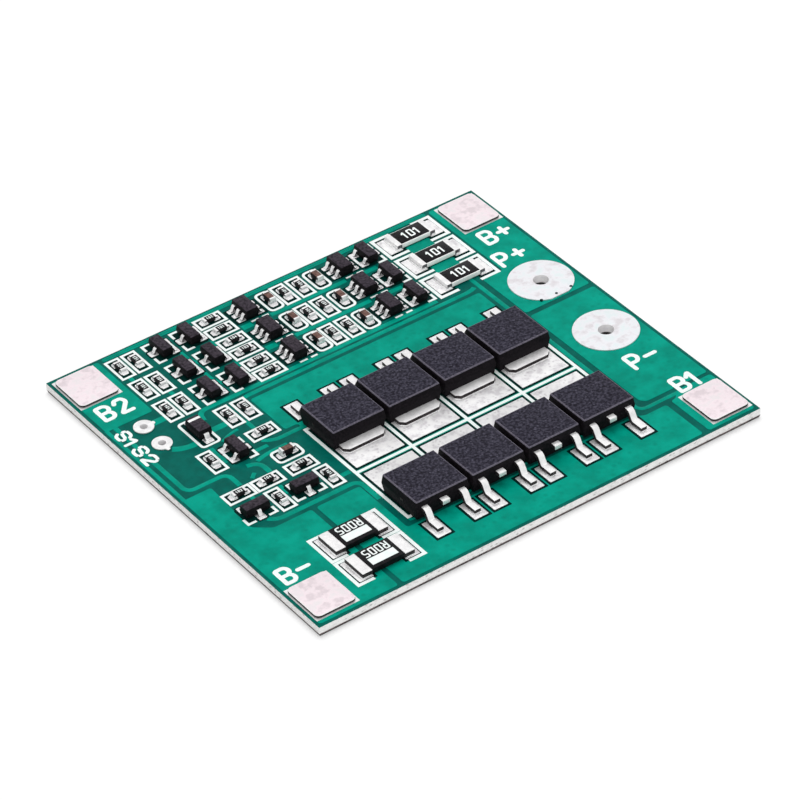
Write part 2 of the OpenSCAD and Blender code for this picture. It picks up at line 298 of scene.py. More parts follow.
def turnOf(corners):  # 90 where the longer side runs along Y
    size = corners[1] - corners[0]
    return 90 if size.y > size.x else 0


def endsOf(corners, length):  # the two end slices of a part along its longer side
    low, high = corners
    axis = 1 if turnOf(corners) else 0
    nearHigh, farLow = high.copy(), low.copy()
    nearHigh[axis] = low[axis] + length
    farLow[axis] = high[axis] - length
    return [(low, nearHigh), (farLow, high)]


# finishes: clouds of colour, specks, a roughness that changes and a fine grain
texture = {"cloudSpan": (0.35, 0.65), "cloudMiddle": 0.5, "cloudDetail": 3.0,
           "noiseRoughness": 0.55, "speckSpan": (0.12, 0.3),
           "roughSpan": (0.3, 0.7), "roughDetail": 2.0, "roughSize": 2.5, "grainDetail": 4.0,
           "grainRoughness": 0.6}


def shade(tone):  # a colour as a screen shows it, 0 to 255, through the standard screen curve
    return tuple(((v / 255 + 0.055) / 1.055) ** 2.4 if v > 10 else v / 255 / 12.92 for v in tone) + (1,)


def finish(name, look):
    material = bpy.data.materials.new(name)
    material.use_nodes = True
    tree = material.node_tree
    shader = tree.nodes["Principled BSDF"]
    shader.inputs["Metallic"].default_value = look.get("metal", 0.0)
    shader.inputs["Specular IOR Level"].default_value = look.get("gloss", 0.5)

    def node(kind, **values):
        made = tree.nodes.new("ShaderNode" + kind)
        for socket, value in values.items():
            made.inputs[socket.replace("_", " ")].default_value = value
        return made

    place = node("TexCoord")
    stretch = node("Mapping", Scale=look.get("stretch", (1, 1, 1)))
    tree.links.new(place.outputs["Object"], stretch.inputs["Vector"])

    def noise(size, detail, roughness=texture["noiseRoughness"]):
        made = node("TexNoise", Scale=1 / (size * mm), Detail=detail, Roughness=roughness)
        tree.links.new(stretch.outputs["Vector"], made.inputs["Vector"])
        return made.outputs["Fac"]

    # clouds of two or three tones
    ramp = node("ValToRGB")
    tones = [shade(tone) for tone in look["tones"]]
    ends = ramp.color_ramp.elements
    for index in (0, 1):
        ends[index].position = texture["cloudSpan"][index]
        ends[index].color = tones[-index]
    if len(tones) == 3:
        ends.new(texture["cloudMiddle"]).color = tones[1]
    tree.links.new(noise(look["clouds"], texture["cloudDetail"]), ramp.inputs["Fac"])
    colour = ramp.outputs["Color"]

    # small specks of a second colour
    if "specks" in look:
        cells = node("TexVoronoi", Scale=1 / (look["specks"] * mm))
        tree.links.new(stretch.outputs["Vector"], cells.inputs["Vector"])
        near, far = texture["speckSpan"]
        amount = node("MapRange", From_Min=near, From_Max=far, To_Min=look["speckStrength"], To_Max=0.0)
        tree.links.new(cells.outputs["Distance"], amount.inputs["Value"])
        mix = node("Mix")
        mix.data_type = "RGBA"
        mix.inputs[7].default_value = shade(look["speckTone"])  # 6 and 7 are its colours, 2 comes out
        tree.links.new(amount.outputs["Result"], mix.inputs[0])
        tree.links.new(colour, mix.inputs[6])
        colour = mix.outputs[2]
    tree.links.new(colour, shader.inputs["Base Color"])

    # roughness that changes from place to place
    least, most = texture["roughSpan"]
    rough = node("MapRange", From_Min=least, From_Max=most, To_Min=look["rough"][0], To_Max=look["rough"][1])
    tree.links.new(noise(look["grain"] * texture["roughSize"], texture["roughDetail"]), rough.inputs["Value"])
    tree.links.new(rough.outputs["Result"], shader.inputs["Roughness"])

    # grain
    bump = node("Bump", Strength=look["bump"], Distance=look["depth"] * mm)
    grain = noise(look["grain"], texture["grainDetail"], texture["grainRoughness"])
    tree.links.new(grain, bump.inputs["Height"])
    tree.links.new(bump.outputs["Normal"], shader.inputs["Normal"])
    return material


# tones from 0 to 255, the size of clouds, specks and grain and the depth of the grain in millimetres
looks = {
    "maskOnCopper": {
        "tones": [(0, 139, 119), (0, 150, 129), (2, 160, 138)], "clouds": 2.2,
        "specks": 1.1, "speckTone": (0, 124, 106), "speckStrength": 0.35,
        "rough": (0.3, 0.42), "gloss": 0.04, "grain": 0.4, "bump": 0.25, "depth": 0.01},
    "maskOnLaminate": {
        "tones": [(0, 88, 79), (0, 103, 92)], "clouds": 1.6,
        "rough": (0.34, 0.46), "gloss": 0.05, "grain": 0.2, "bump": 0.3, "depth": 0.012},
    "gapShade": {
        "tones": [(0, 30, 27), (3, 46, 42)], "clouds": 0.5,
        "rough": (0.5, 0.6), "gloss": 0.03, "grain": 0.2, "bump": 0.3, "depth": 0.01},
    "glassEpoxy": {
        "tones": [(232, 232, 230), (250, 250, 249), (255, 255, 254)], "clouds": 0.4, "stretch": (1, 1, 2.0),
        "specks": 0.8, "speckTone": (120, 112, 112), "speckStrength": 0.5,
        "rough": (0.6, 0.85), "gloss": 0.2, "grain": 0.12, "bump": 0.7, "depth": 0.03},
    "scoredEdgeAndShade": {
        "tones": [(66, 52, 54), (120, 104, 104)], "clouds": 0.5,
        "rough": (0.6, 0.85), "gloss": 0.1, "grain": 0.12, "bump": 0.7, "depth": 0.03},
    "nickel": {
        "tones": [(226, 213, 218), (246, 232, 237), (238, 230, 233)], "clouds": 1.1, "metal": 0.6,
        "rough": (0.4, 0.55), "grain": 0.12, "bump": 0.3, "depth": 0.008},
    "tin": {
        "tones": [(232, 231, 232), (250, 249, 249)], "clouds": 0.7, "metal": 0.4,
        "rough": (0.3, 0.45), "grain": 0.25, "bump": 0.35, "depth": 0.012},
    # near-black metal for cut edges, and painted shade on upright and deep metal faces
    "cutMetalAndShade": {
        "tones": [(34, 30, 32), (70, 64, 66)], "clouds": 0.4, "metal": 0.3,
        "rough": (0.5, 0.65), "gloss": 0.2, "grain": 0.15, "bump": 0.5, "depth": 0.015},
    "capSideShade": {
        "tones": [(78, 74, 78), (118, 114, 118)], "clouds": 0.4, "metal": 0.4,
        "rough": (0.4, 0.55), "gloss": 0.3, "grain": 0.15, "bump": 0.4, "depth": 0.01},
    "landTin": {
        "tones": [(222, 219, 222), (246, 245, 246), (253, 252, 252)], "clouds": 0.8, "metal": 0.35,
        "specks": 0.6, "speckTone": (176, 170, 176), "speckStrength": 0.4,
        "rough": (0.34, 0.5), "grain": 0.3, "bump": 0.5, "depth": 0.016},
    "padTin": {
        "tones": [(222, 218, 222), (238, 238, 242), (230, 238, 240)], "clouds": 1.3, "metal": 0.5,
        "rough": (0.36, 0.5), "grain": 0.22, "bump": 0.4, "depth": 0.014},
    "liningTin": {
        "tones": [(238, 236, 238), (252, 251, 251)], "clouds": 0.5, "metal": 0.1,
        "rough": (0.4, 0.55), "grain": 0.25, "bump": 0.3, "depth": 0.01},
    "solder": {
        "tones": [(224, 223, 225), (248, 247, 247)], "clouds": 0.5, "metal": 0.7,
        "rough": (0.18, 0.32), "grain": 0.35, "bump": 0.4, "depth": 0.016},
    "mosfetEpoxy": {
        "tones": [(28, 26, 35), (47, 45, 56), (70, 68, 81)], "clouds": 0.3,
        "specks": 0.4, "speckTone": (104, 102, 118), "speckStrength": 0.4,
        "rough": (0.5, 0.66), "gloss": 0.06, "grain": 0.1, "bump": 0.6, "depth": 0.016},
    "mosfetRimHighlight": {
        "tones": [(84, 80, 92), (112, 108, 120)], "clouds": 0.25,
        "rough": (0.5, 0.66), "gloss": 0.1, "grain": 0.1, "bump": 0.6, "depth": 0.016},
    "mosfetSideShade": {
        "tones": [(14, 12, 15), (30, 26, 30)], "clouds": 0.25,
        "rough": (0.5, 0.66), "gloss": 0.06, "grain": 0.1, "bump": 0.6, "depth": 0.016},
    "smallEpoxy": {
        "tones": [(34, 30, 36), (68, 61, 70)], "clouds": 0.3,
        "rough": (0.45, 0.6), "gloss": 0.08, "grain": 0.08, "bump": 0.45, "depth": 0.01},
    "smallSideShade": {
        "tones": [(12, 11, 13), (26, 23, 26)], "clouds": 0.3,
        "rough": (0.45, 0.6), "gloss": 0.08, "grain": 0.08, "bump": 0.45, "depth": 0.01},
    "ceramic": {
        "tones": [(244, 245, 243), (255, 255, 254)], "clouds": 0.7,
        "rough": (0.45, 0.6), "gloss": 0.1, "grain": 0.1, "bump": 0.25, "depth": 0.006},
    "shadedChipCeramic": {
        "tones": [(20, 20, 22), (38, 37, 39)], "clouds": 0.3,
        "rough": (0.45, 0.6), "gloss": 0.08, "grain": 0.08, "bump": 0.3, "depth": 0.006},
    "blackGlaze": {
        "tones": [(8, 8, 10), (24, 22, 26)], "clouds": 0.5,
        "rough": (0.25, 0.4), "gloss": 0.1, "grain": 0.14, "bump": 0.25, "depth": 0.006},
    "capacitorBrown": {
        "tones": [(78, 56, 50), (126, 94, 86)], "clouds": 0.4,
        "rough": (0.35, 0.5), "gloss": 0.15, "grain": 0.1, "bump": 0.3, "depth": 0.006},
    "whitePrint": {
        "tones": [(240, 252, 249), (252, 255, 255)], "clouds": 0.6,
        "rough": (0.5, 0.65), "gloss": 0.15, "grain": 0.1, "bump": 0.4, "depth": 0.008},
}
finishes = {name: finish(name, look) for name, look in looks.items()}
print("finishes ready")

# what stands where, read from the frame before anything is replaced
boardLow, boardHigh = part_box("board")
boardSize = boardHigh - boardLow
boardTop = boardHigh.z
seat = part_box("mosfet_1_leadframe")[0].z
chipResistors = solidsOf("chip_resistors")
chipCapacitors = solidsOf("chip_capacitors")
signalLands = solidsOf("signal_lands")
powerLands = solidsOf("power_lands")
transistorLeads = solidsOf("transistor_leads")
balanceResistors = [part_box(f"balance_resistor_{i}") for i in (1, 2, 3)]
shuntResistors = [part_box(f"shunt_resistor_{i}") for i in (1, 2)]
bores = {m["name"]: (Vector(m["pos_m"]), m["dims"]["r_mm"] * mm)
         for m in frame["record"]["mounts"] if m["kind"] == "bore"}
print("places read:", len(chipResistors), "chips,", len(signalLands), "lands")

# laminate: glass and epoxy core, scored along its underside, between two coats of mask
laminate = {"mask": 0.025 * mm, "copper": 0.035 * mm, "edge": 0.01 * mm, "smooth": 20,
            "score": 0.08 * mm, "scoreHigh": 0.12 * mm, "edgeShadeHigh": 0.36 * mm}
skin = laminate["mask"] + laminate["copper"]
copperFloor = boardTop - laminate["copper"]


def drilled(name, outline, bottom, top, corner=0.0):  # a plate with the wire holes that fall in it
    spans = [(min(c[i] for c in outline), max(c[i] for c in outline)) for i in (0, 1)]
    holes = [(place, radius) for place, radius in bores.values()
             if all(low < place[i] < high for i, (low, high) in enumerate(spans))]
    return plate(name, outline, bottom, top, corner, holes)


def onLowerRim(middle, way):  # the outer edges round the core's underside
    return middle.z < skin + hair and any(abs(abs(middle[i]) - boardSize[i] / 2) < hair for i in (0, 1))


core = drilled("laminateCore", rectangle(boardLow, boardHigh), skin, boardTop - skin)
for level in ("scoreHigh", "edgeShadeHigh"):
    editAll(core)
    bpy.ops.mesh.bisect(plane_co=(0, 0, laminate[level]), plane_no=(0, 0, 1))
pickEdges(core, onLowerRim)
drawnIn = [1 - 2 * laminate["score"] / boardSize[i] for i in (0, 1)]
bpy.ops.transform.resize(value=(*drawnIn, 1), center_override=(0, 0, 0))
paint(smooth(core, laminate["smooth"]), finishes["glassEpoxy"])
# the lower band of the edge is painted dark brown: partly the rough score, partly painted shadow along the
# foot of the board
trim(core, finishes["scoredEdgeAndShade"], lambda c, n: c.z < laminate["edgeShadeHigh"] and abs(n.z) < steep)
dress(core, "laminate_edge", "board")

for name, bottom, top, inset in (("maskCoatTop", boardTop - skin, copperFloor, laminate["edge"]),
                                 ("maskCoatBack", laminate["copper"], skin, laminate["score"])):
    coat = drilled(name, rectangle(boardLow, boardHigh, inset), bottom, top)
    paint(smooth(coat, laminate["smooth"]), finishes["maskOnLaminate"])
    dress(coat, "solder_mask", "board")
print("laminate done")

# copper under the mask: areas by their corners and tracks by their middle lines, in millimetres
copper = {
    "corner": 0.3, "trackBend": 0.9, "trackSmooth": 60,
    "areas": {
        "b2": [(-27.1, 14.0), (-21.35, 14.0), (-21.35, 24.6), (-27.1, 24.6)],
        "top": [(-20.9, 24.2), (20.9, 24.2), (20.9, 24.75), (-20.9, 24.75)],
        "bMinus": [(-27.15, -24.6), (-17.75, -24.6), (-17.75, -9.6), (-22.3, -9.6), (-24.1, -8.1),
                   (-23.7, -0.35), (-27.15, -0.35)],
        "shunts": [(-17.15, -24.6), (20.35, -24.6), (20.35, -18.55), (17.6, -18.55), (16.6, -17.9),
                   (-11.85, -17.9), (-11.85, -9.6), (-17.15, -9.6)],
        "sources": [(-12.45, 9.2), (16.95, 9.2), (16.95, 1.5), (-10.9, 1.5), (-10.9, 2.8), (-12.45, 2.8)],
        "drains": [(-11.1, 1.0), (16.95, 1.0), (16.95, -17.3), (-11.1, -17.3)],
        "pMinus": [(18.65, 2.45), (27.1, 2.45), (27.1, -16.8), (19.2, -16.8), (18.65, -16.2)],
        "pPlus": [(18.65, 3.15), (27.1, 3.15), (27.1, 24.6), (21.35, 24.6), (21.35, 10.9), (18.65, 10.9)],
        "b1": [(21.15, -24.6), (27.1, -24.6), (27.1, -17.3), (22.6, -17.3), (21.8, -18.3), (21.15, -18.3)],
        "cell1": [(15.6, 19.1), (18.6, 19.1), (18.6, 20.75), (15.6, 20.75)],
        "cell2": [(15.6, 14.55), (18.6, 14.55), (18.6, 16.2), (15.6, 16.2)],
    },
    "backAreas": {
        "left": [(-27.1, -24.6), (-4.3, -24.6), (-4.3, 24.6), (-27.1, 24.6)],
        "middle": [(-3.7, -24.6), (17.2, -24.6), (17.2, 24.6), (-3.7, 24.6)],
        "right": [(17.8, -24.6), (27.1, -24.6), (27.1, 24.6), (17.8, 24.6)],
    },
    "tracks": [
        (0.55, [(-25.95, 14.2), (-25.95, 0.55), (-21.15, 0.55), (-21.15, -1.9)]),
        (0.45, [(-26.95, 14.2), (-26.95, -0.5)]),
        (0.9, [(-22.5, 12.25), (-21.0, 12.25)]),
        (0.8, [(-23.3, 7.4), (-22.4, 6.7), (-20.9, 6.6)]),
        (0.6, [(-18.1, 9.3), (-17.8, 10.85), (-9.5, 10.85), (12.6, 10.85)]),
        (0.55, [(-13.6, 9.6), (-12.9, 10.0), (16.6, 10.0), (17.1, 10.3)]),
        (0.8, [(-18.6, 7.45), (-16.4, 7.45)]),
        (0.35, [(-18.6, 5.2), (-17.2, 5.9), (-16.2, 5.9)]),
        (0.5, [(-14.8, 6.6), (-14.8, 4.9)]),
        (0.55, [(-15.3, 2.9), (-14.5, 2.05), (-10.6, 2.05)]),
        (0.5, [(-17.2, 1.8), (-15.3, 1.8)]),
        (0.5, [(-17.6, 0.3), (-16.2, 0.75), (-13.6, 0.75)]),
        (0.6, [(-18.9, 0.3), (-17.55, 0.0), (-17.55, -2.0)]),
        (0.45, [(-19.6, -1.7), (-18.9, -1.1)]),
        (0.5, [(-20.15, 5.0), (-20.15, 2.0)]),
        (0.6, [(-12.7, -7.0), (-11.2, -7.0)]),
        (0.5, [(-21.3, -4.0), (-21.3, -5.4)]),
        (0.45, [(-18.05, -4.4), (-18.05, -6.0)]),
        (0.6, [(-22.0, -8.0), (-21.4, -8.75), (-11.4, -8.75), (-11.4, -12.5)]),
        (0.5, [(17.7, 12.2), (17.7, -17.6), (22.9, -17.6)]),
        (0.6, [(-2.5, 20.0), (7.2, 20.0)]),
        (0.6, [(-2.5, 15.4), (7.2, 15.4)]),
        (0.8, [(-6.2, 19.95), (-4.9, 19.95)]),
        (0.8, [(-6.2, 15.4), (-4.9, 15.4)]),
        (0.6, [(9.6, 19.9), (11.2, 19.9)]),
        (0.6, [(9.6, 15.3), (11.2, 15.3)]),
        (0.5, [(-20.15, 21.0), (-20.15, 18.6)]),
        (0.5, [(-18.15, 16.5), (-18.15, 14.0)]),
        (0.5, [(-13.6, 21.0), (-13.6, 18.4), (-12.6, 17.5)]),
        (0.5, [(-13.6, 16.4), (-13.6, 13.9), (-12.6, 13.0)]),
        (0.45, [(-9.9, 20.2), (-9.9, 19.0)]),
        (0.45, [(-9.9, 15.6), (-9.9, 14.6)]),
        (0.45, [(-26.45, -1.4), (-25.9, -1.2)]),
    ],
}


def inMetres(points):
    return [(x * mm, y * mm) for x, y in points]


def ribbon(name, width, points, bend, bottom, height):  # a rounded stroke along a line of points
    pick()
    bpy.ops.mesh.primitive_plane_add(size=mm, location=(points[0][0], points[0][1], 0))
    piece = settle(named(name))
    editAll(piece, "VERT")
    bpy.ops.mesh.merge(type="CENTER")
    for start, end in zip(points, points[1:]):
        extrude((end[0] - start[0], end[1] - start[1], 0))
    bpy.ops.mesh.select_all(action="SELECT")
    if len(points) > 2:
        bpy.ops.mesh.bevel(offset=bend, segments=strokeSteps, affect="VERTICES")
    pick(piece)
    bpy.ops.object.convert(target="CURVE")
    piece = bpy.context.object
    piece.data.bevel_depth = width / 2
    piece.data.bevel_resolution = 2
    piece.data.use_fill_caps = True
    bpy.ops.object.convert(target="MESH")
    piece = named(name)
    editAll(piece, "VERT")
    closeUp()
    pick(piece)
    piece.scale.z = height / (width / 2)
    return movedTo(piece, (0, 0, bottom))


def copperAreas(name, outlines, bottom, top):
    areas = [drilled("area", inMetres(outline), bottom, top, copper["corner"] * mm)
             for outline in outlines.values()]
    dress(paint(smooth(join(name, areas)), finishes["maskOnCopper"]), "solder_mask")


copperAreas("copperAreas", copper["areas"], copperFloor, boardTop)
tracks = [ribbon("track", width * mm, inMetres(points), copper["trackBend"] * mm, copperFloor,
                 laminate["copper"]) for width, points in copper["tracks"]]
tracks = smooth(join("copperTracks", tracks), copper["trackSmooth"])
dress(paint(tracks, finishes["maskOnCopper"]), "solder_mask")
copperAreas("copperAreasBack", copper["backAreas"], 0, laminate["copper"])
print("copper done")

# weld tabs: rounded nickel strips, with a painted highlight of bright tin on the rounded rim and painted
# shade on the cut side
weldTab = {"corner": 0.6 * mm, "edge": 0.09 * mm, "flatFrom": 0.99}
for node in ("weld_tab_b_minus", "weld_tab_b1", "weld_tab_b2", "weld_tab_b_plus"):
    tab = block(node + "_strip", *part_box(node))
    pickEdges(tab, standing)
    bpy.ops.mesh.bevel(offset=weldTab["corner"], segments=6)
    pick(tab)
    paint(soften(tab, weldTab["edge"], 3, 60), finishes["nickel"])
    # painted highlight: bright tin on the rounded rim; painted shade: near-black on the upright sides
    trim(tab, finishes["tin"], lambda c, n: slant <= n.z < weldTab["flatFrom"])
    trim(tab, finishes["cutMetalAndShade"], lambda c, n: n.z < slant)
    dress(tab, "nickel_tab", node)

# wire pads: a tinned ring with rounded rims and a lined hole, painted near-black at its deep end as shade
wirePad = {"round": 0.09 * mm, "lining": 0.03 * mm, "overlap": 0.002 * mm, "flange": 0.45 * mm,
           "shadedBelow": 0.36 * mm, "via": 0.17 * mm, "viaHigh": 0.004 * mm,
           "vias": [(-2.1 * mm, -2.9 * mm), (-0.15 * mm, -2.95 * mm), (1.8 * mm, -2.9 * mm)]}


def lining(name, place, radius, top):  # plated wall of a hole with its rim on the back
    inner, outer, rim = radius - wirePad["lining"], radius + wirePad["overlap"], radius + wirePad["flange"]
    piece = turned(name, [(inner, 0), (rim, 0), (rim, laminate["copper"]), (outer, laminate["copper"]),
                          (outer, top), (inner, top), (inner, wirePad["shadedBelow"])])
    paint(smooth(movedTo(piece, (place.x, place.y, 0))), finishes["liningTin"])
    # the inner wall below the shade line is painted near-black as shade
    return trim(piece, finishes["cutMetalAndShade"], lambda c, n: (
        c.z < wirePad["shadedBelow"] and abs(n.z) < slant and (c - place).xy.length < radius))


def roundOutline(place, radius, straightY=None, sides=96):  # a circle, or one with a straight lower side
    if straightY is None:
        turns = [2 * math.pi * i / sides for i in range(sides)]
    else:
        first = math.asin((straightY - place.y) / radius)
        turns = [first + (math.pi - 2 * first) * i / sides for i in range(sides + 1)]
    return [(place.x + radius * math.cos(t), place.y + radius * math.sin(t)) for t in turns]


for node, bore in (("output_pad_plus", "wire_hole_plus"), ("output_pad_minus", "wire_hole_minus")):
    low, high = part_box(node)
    place, radius = bores[bore]
    outer = (high.x - low.x) / 2
    straight = place.y - low.y < outer - hair  # the positive pad has one straight side
    pad = drilled(node + "_ring", roundOutline(place, outer, low.y if straight else None), low.z, high.z)
    soften(pad, wirePad["round"], 4, 50)
    parts = [paint(pad, finishes["padTin"]), lining("barrel", place, radius, high.z)]
    # via plugs painted near-black, the via holes shown as painted shade
    for x, y in wirePad["vias"] if straight else ():
        viaTop = high.z + wirePad["viaHigh"]
        plug = rod("via", (place.x + x, place.y + y), wirePad["via"], boardTop, viaTop, 20)
        parts.append(paint(plug, finishes["gapShade"]))
    dress(join(node + "_ring", parts), "tinned_pad", node)

# switch rings: each has a tail that points to its track
switchRing = {"tail": 0.25 * mm, "tailIn": 0.2 * mm, "round": 0.05 * mm}
switchParts = []
for index, (low, high) in enumerate(sorted(solidsOf("switch_pads"), key=lambda c: -c[0].y)):
    place, radius = bores[f"switch_hole_{index + 1}"]
    ring = drilled("ring", roundOutline(place, place.x - low.x, sides=48), low.z, high.z)
    turn = 0 if index == 0 else -math.pi / 2
    reach = (high.x - place.x if index == 0 else place.y - low.y) - switchRing["tail"]
    tail = rod("tail", (0, 0), switchRing["tail"], 0, high.z - low.z - hair, 24)
    pickFaces(tail, lambda c, n: c.x < 0 and abs(n.z) < slant)
    bpy.ops.transform.translate(value=(-switchRing["tailIn"], 0, 0))
    out = Vector((math.cos(turn), math.sin(turn), 0)) * reach
    pick(tail)
    tail.rotation_euler.z = turn
    movedTo(tail, (place.x + out.x, place.y + out.y, low.z))
    for part in (ring, tail):
        switchParts.append(paint(soften(part, switchRing["round"], 3, 50), finishes["tin"]))
    switchParts.append(lining("barrel", place, radius, high.z))
dress(join("switchRings", switchParts), "tinned_pad", "switch_pads")
print("tabs and pads done")

# lands: tinned copper with solder rounded over its edges
land = {"rise": 0.015 * mm, "round": 0.05 * mm, "corner": 0.08 * mm, "top": 0.055 * mm,
        "chipSide": 0.11 * mm, "chipEnd": 0.19 * mm, "signalGap": 0.13 * mm, "powerGap": 0.28 * mm,
        "gapHigh": 0.003 * mm, "tabRim": 0.15 * mm, "shuntTrim": 0.52 * mm}

# solder joints: how long a part's end rests on its land, how high the solder climbs, how far it spills
joints = {
    "chipResistorSolder": {"contact": 0.3 * mm, "height": 0.26 * mm, "spill": 0.2 * mm},
    "chipCapacitorSolder": {"contact": 0.3 * mm, "height": 0.4 * mm, "spill": 0.24 * mm},
    "balanceResistorSolder": {"contact": 0.5 * mm, "height": 0.22 * mm, "spill": 0.2 * mm},
    "shuntSolder": {"contact": 1.0 * mm, "height": 0.12 * mm, "spill": 0.12 * mm},
    "mosfetLeadSolder": {"contact": 0.95 * mm, "height": 0.1 * mm, "spill": 0.1 * mm},
    "drainSolder": {"contact": 0.5 * mm, "height": 0.1 * mm, "spill": 0.12 * mm},
    "diodeSolder": {"height": 0.11 * mm, "spill": 0.25 * mm},
    "smallLeadSolder": {"contact": 0.26 * mm, "height": 0.14 * mm, "spill": 0.22 * mm},
}
jointRim, jointSkirt = 0.03 * mm, Vector((hair, hair))
jointSteps, jointSmooth = 4, 60


def landHalf(corners, width, length):  # a chip's land is hardly wider than the chip
    half = Vector((width * mm / 2, length * mm / 2, 0))
    for chip in chipResistors + chipCapacitors:
        if any(holds(corners, mid(end)) for end in endsOf(chip, joints["chipResistorSolder"]["contact"])):
            across = 0 if turnOf(chip) else 1
            half[across] -= land["chipSide"]
            half[1 - across] -= land["chipEnd"]
    return half


def tinnedLands(name, solids, gap, more=()):  # lands of one size are made once and spread
    kinds = {}
    for low, high in solids:
        size = high - low
        kinds.setdefault((round(size.x / mm, 2), round(size.y / mm, 2)), []).append((low, high))
    parts = []
    for (width, length), alike in sorted(kinds.items()):
        half = landHalf(alike[0], width, length)
        thick = alike[0][1].z - boardTop + land["rise"]
        pattern = block("land", (-half.x, -half.y, 0), (half.x, half.y, thick))
        pickEdges(pattern, standing)
        bpy.ops.mesh.bevel(offset=land["corner"], segments=2)
        soften(pattern, land["round"], 2, 60)
        places = [((*mid(c).xy, boardTop), 0) for c in alike]
        parts.append(paint(spread(pattern, name, places), finishes["landTin"]))
        around = half + Vector((gap, gap, 0))  # strip between land and mask, painted near-black: partly the bare gap, partly painted shade
        strip = plate("strip", rectangle(-around, around), 0, land["gapHigh"], land["corner"])
        parts.append(paint(spread(strip, name, places), finishes["gapShade"]))
    return join(name, parts + list(more))


def insideFrames(low, high):  # a shunt's land stops inside its printed frame
    short = Vector((land["shuntTrim"], 0, 0))
    for part in shuntResistors:
        if abs(mid((low, high)).y - mid(part).y) < mm and low.x < part[0].x < high.x:
            low = low + short
        elif abs(mid((low, high)).y - mid(part).y) < mm and low.x < part[1].x < high.x:
            high = high - short
    return low, high


def tabRim(low, high):  # the square-cornered land that a tab lies on
    rim = Vector((land["tabRim"], land["tabRim"], 0))
    rimTop = boardTop + land["top"] - land["rise"]
    return paint(block("rim", (*(low - rim).xy, boardTop), (*(high + rim).xy, rimTop)), finishes["tin"])


tabBoxes = [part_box(n) for n in nodes if n.startswith("weld_tab")]
openLands = [insideFrames(*c) for c in powerLands if not any(holds(t, mid(c)) for t in tabBoxes)]
tabRims = [tabRim(*c) for c in tabBoxes]
dress(tinnedLands("signalLands", signalLands, land["signalGap"]), "tinned_land", "signal_lands")
dress(tinnedLands("powerLands", openLands, land["powerGap"], tabRims), "tinned_land", "power_lands")
print("lands done")


def hollowSlope(outline, outer, height):  # from the outline at its height down to the outer corners
    piece = loop("joint", [(x, y, height) for x, y in outline], "NGON")
    inner = [Vector((side(x for x, y in outline), side(y for x, y in outline))) for side in (min, max)]
    editAll(piece, "EDGE")
    before = (*inner, height)
    for step in range(1, jointSteps + 1):
        turn = math.pi / 2 * step / jointSteps
        out, down = 1 - math.cos(turn), 1 - math.sin(turn)
        low, high = inner[0].lerp(outer[0], out), inner[1].lerp(outer[1], out)
        level = height * down
        shift = (low + high - before[0] - before[1]) / 2
        grow = [(high[i] - low[i]) / (before[1][i] - before[0][i]) for i in (0, 1)]
        bpy.ops.mesh.extrude_edges_move(TRANSFORM_OT_translate={"value": (*shift, level - before[2])})
        bpy.ops.transform.resize(value=(*grow, 1), center_override=(*((low + high) / 2), level))
        before = (low, high, level)
    bpy.ops.mesh.edge_face_add()
    bpy.ops.mesh.select_all(action="SELECT")
    bpy.ops.mesh.normals_make_consistent(inside=False)
    return smooth(piece, jointSmooth)


def clippedOutline(low, high, chamfer=0, way=0):  # the two corners at the way end may be cut off
    points = [(low.x, low.y), (high.x, low.y), (high.x, high.y), (low.x, high.y)]
    if not chamfer:
        return points
    near, far = (low.y, high.y) if way > 0 else (high.y, low.y)
    shift = -chamfer if way > 0 else chamfer
    return [(low.x, near), (high.x, near), (high.x, far + shift), (high.x - chamfer, far),
            (low.x + chamfer, far), (low.x, far + shift)]


def landUnder(contact, lands):
    return next(c for c in lands if holds(c, mid(contact)))


def solderJoints(name, pairs, chamfer=0):  # each pair is a contact and its land, joints alike are made once
    height, spill = joints[name]["height"], joints[name]["spill"]
    kinds = {}
    for contact, under in pairs:
        centre = mid(under)
        local = [(corner - centre).xy for corner in (*contact, *under)]
        key = tuple(round(v / mm, 2) for corner in local for v in corner)
        kinds.setdefault(key, (local, []))[1].append(((centre.x, centre.y, boardTop + land["top"]), 0))
    parts = []
    for key, (local, places) in sorted(kinds.items()):
        low, high, edgeLow, edgeHigh = local
        spillLow = [max(low[i] - spill, min(edgeLow[i] + jointRim, low[i])) for i in (0, 1)]
        spillHigh = [min(high[i] + spill, max(edgeHigh[i] - jointRim, high[i])) for i in (0, 1)]
        outer = [Vector(spillLow) - jointSkirt, Vector(spillHigh) + jointSkirt]
        way = 1 if low.y + high.y > edgeLow.y + edgeHigh.y else -1
        slope = hollowSlope(clippedOutline(low, high, chamfer, way), outer, height)
        parts.append(spread(slope, name, places))
    dress(paint(join(name, parts), finishes["solder"]), "tinned_land")


for name, chips, lands in (("chipResistorSolder", chipResistors, signalLands),
                           ("chipCapacitorSolder", chipCapacitors, signalLands),
                           ("balanceResistorSolder", balanceResistors, powerLands),
                           ("shuntSolder", shuntResistors, powerLands)):
    ends = [end for chip in chips for end in endsOf(chip, joints[name]["contact"])]
    solderJoints(name, [(end, landUnder(end, lands)) for end in ends])
print("chip joints done")


def isDarkenedFace(lead):  # the sides of a formed lead and the end of its foot, painted near-black: cut metal, darkened further as painted shade
    footFrom = lead["reach"] - lead["cutWithin"]
    return lambda c, n: abs(n.y) > lead["sideFrom"] or n.x > steep and c.x > footFrom


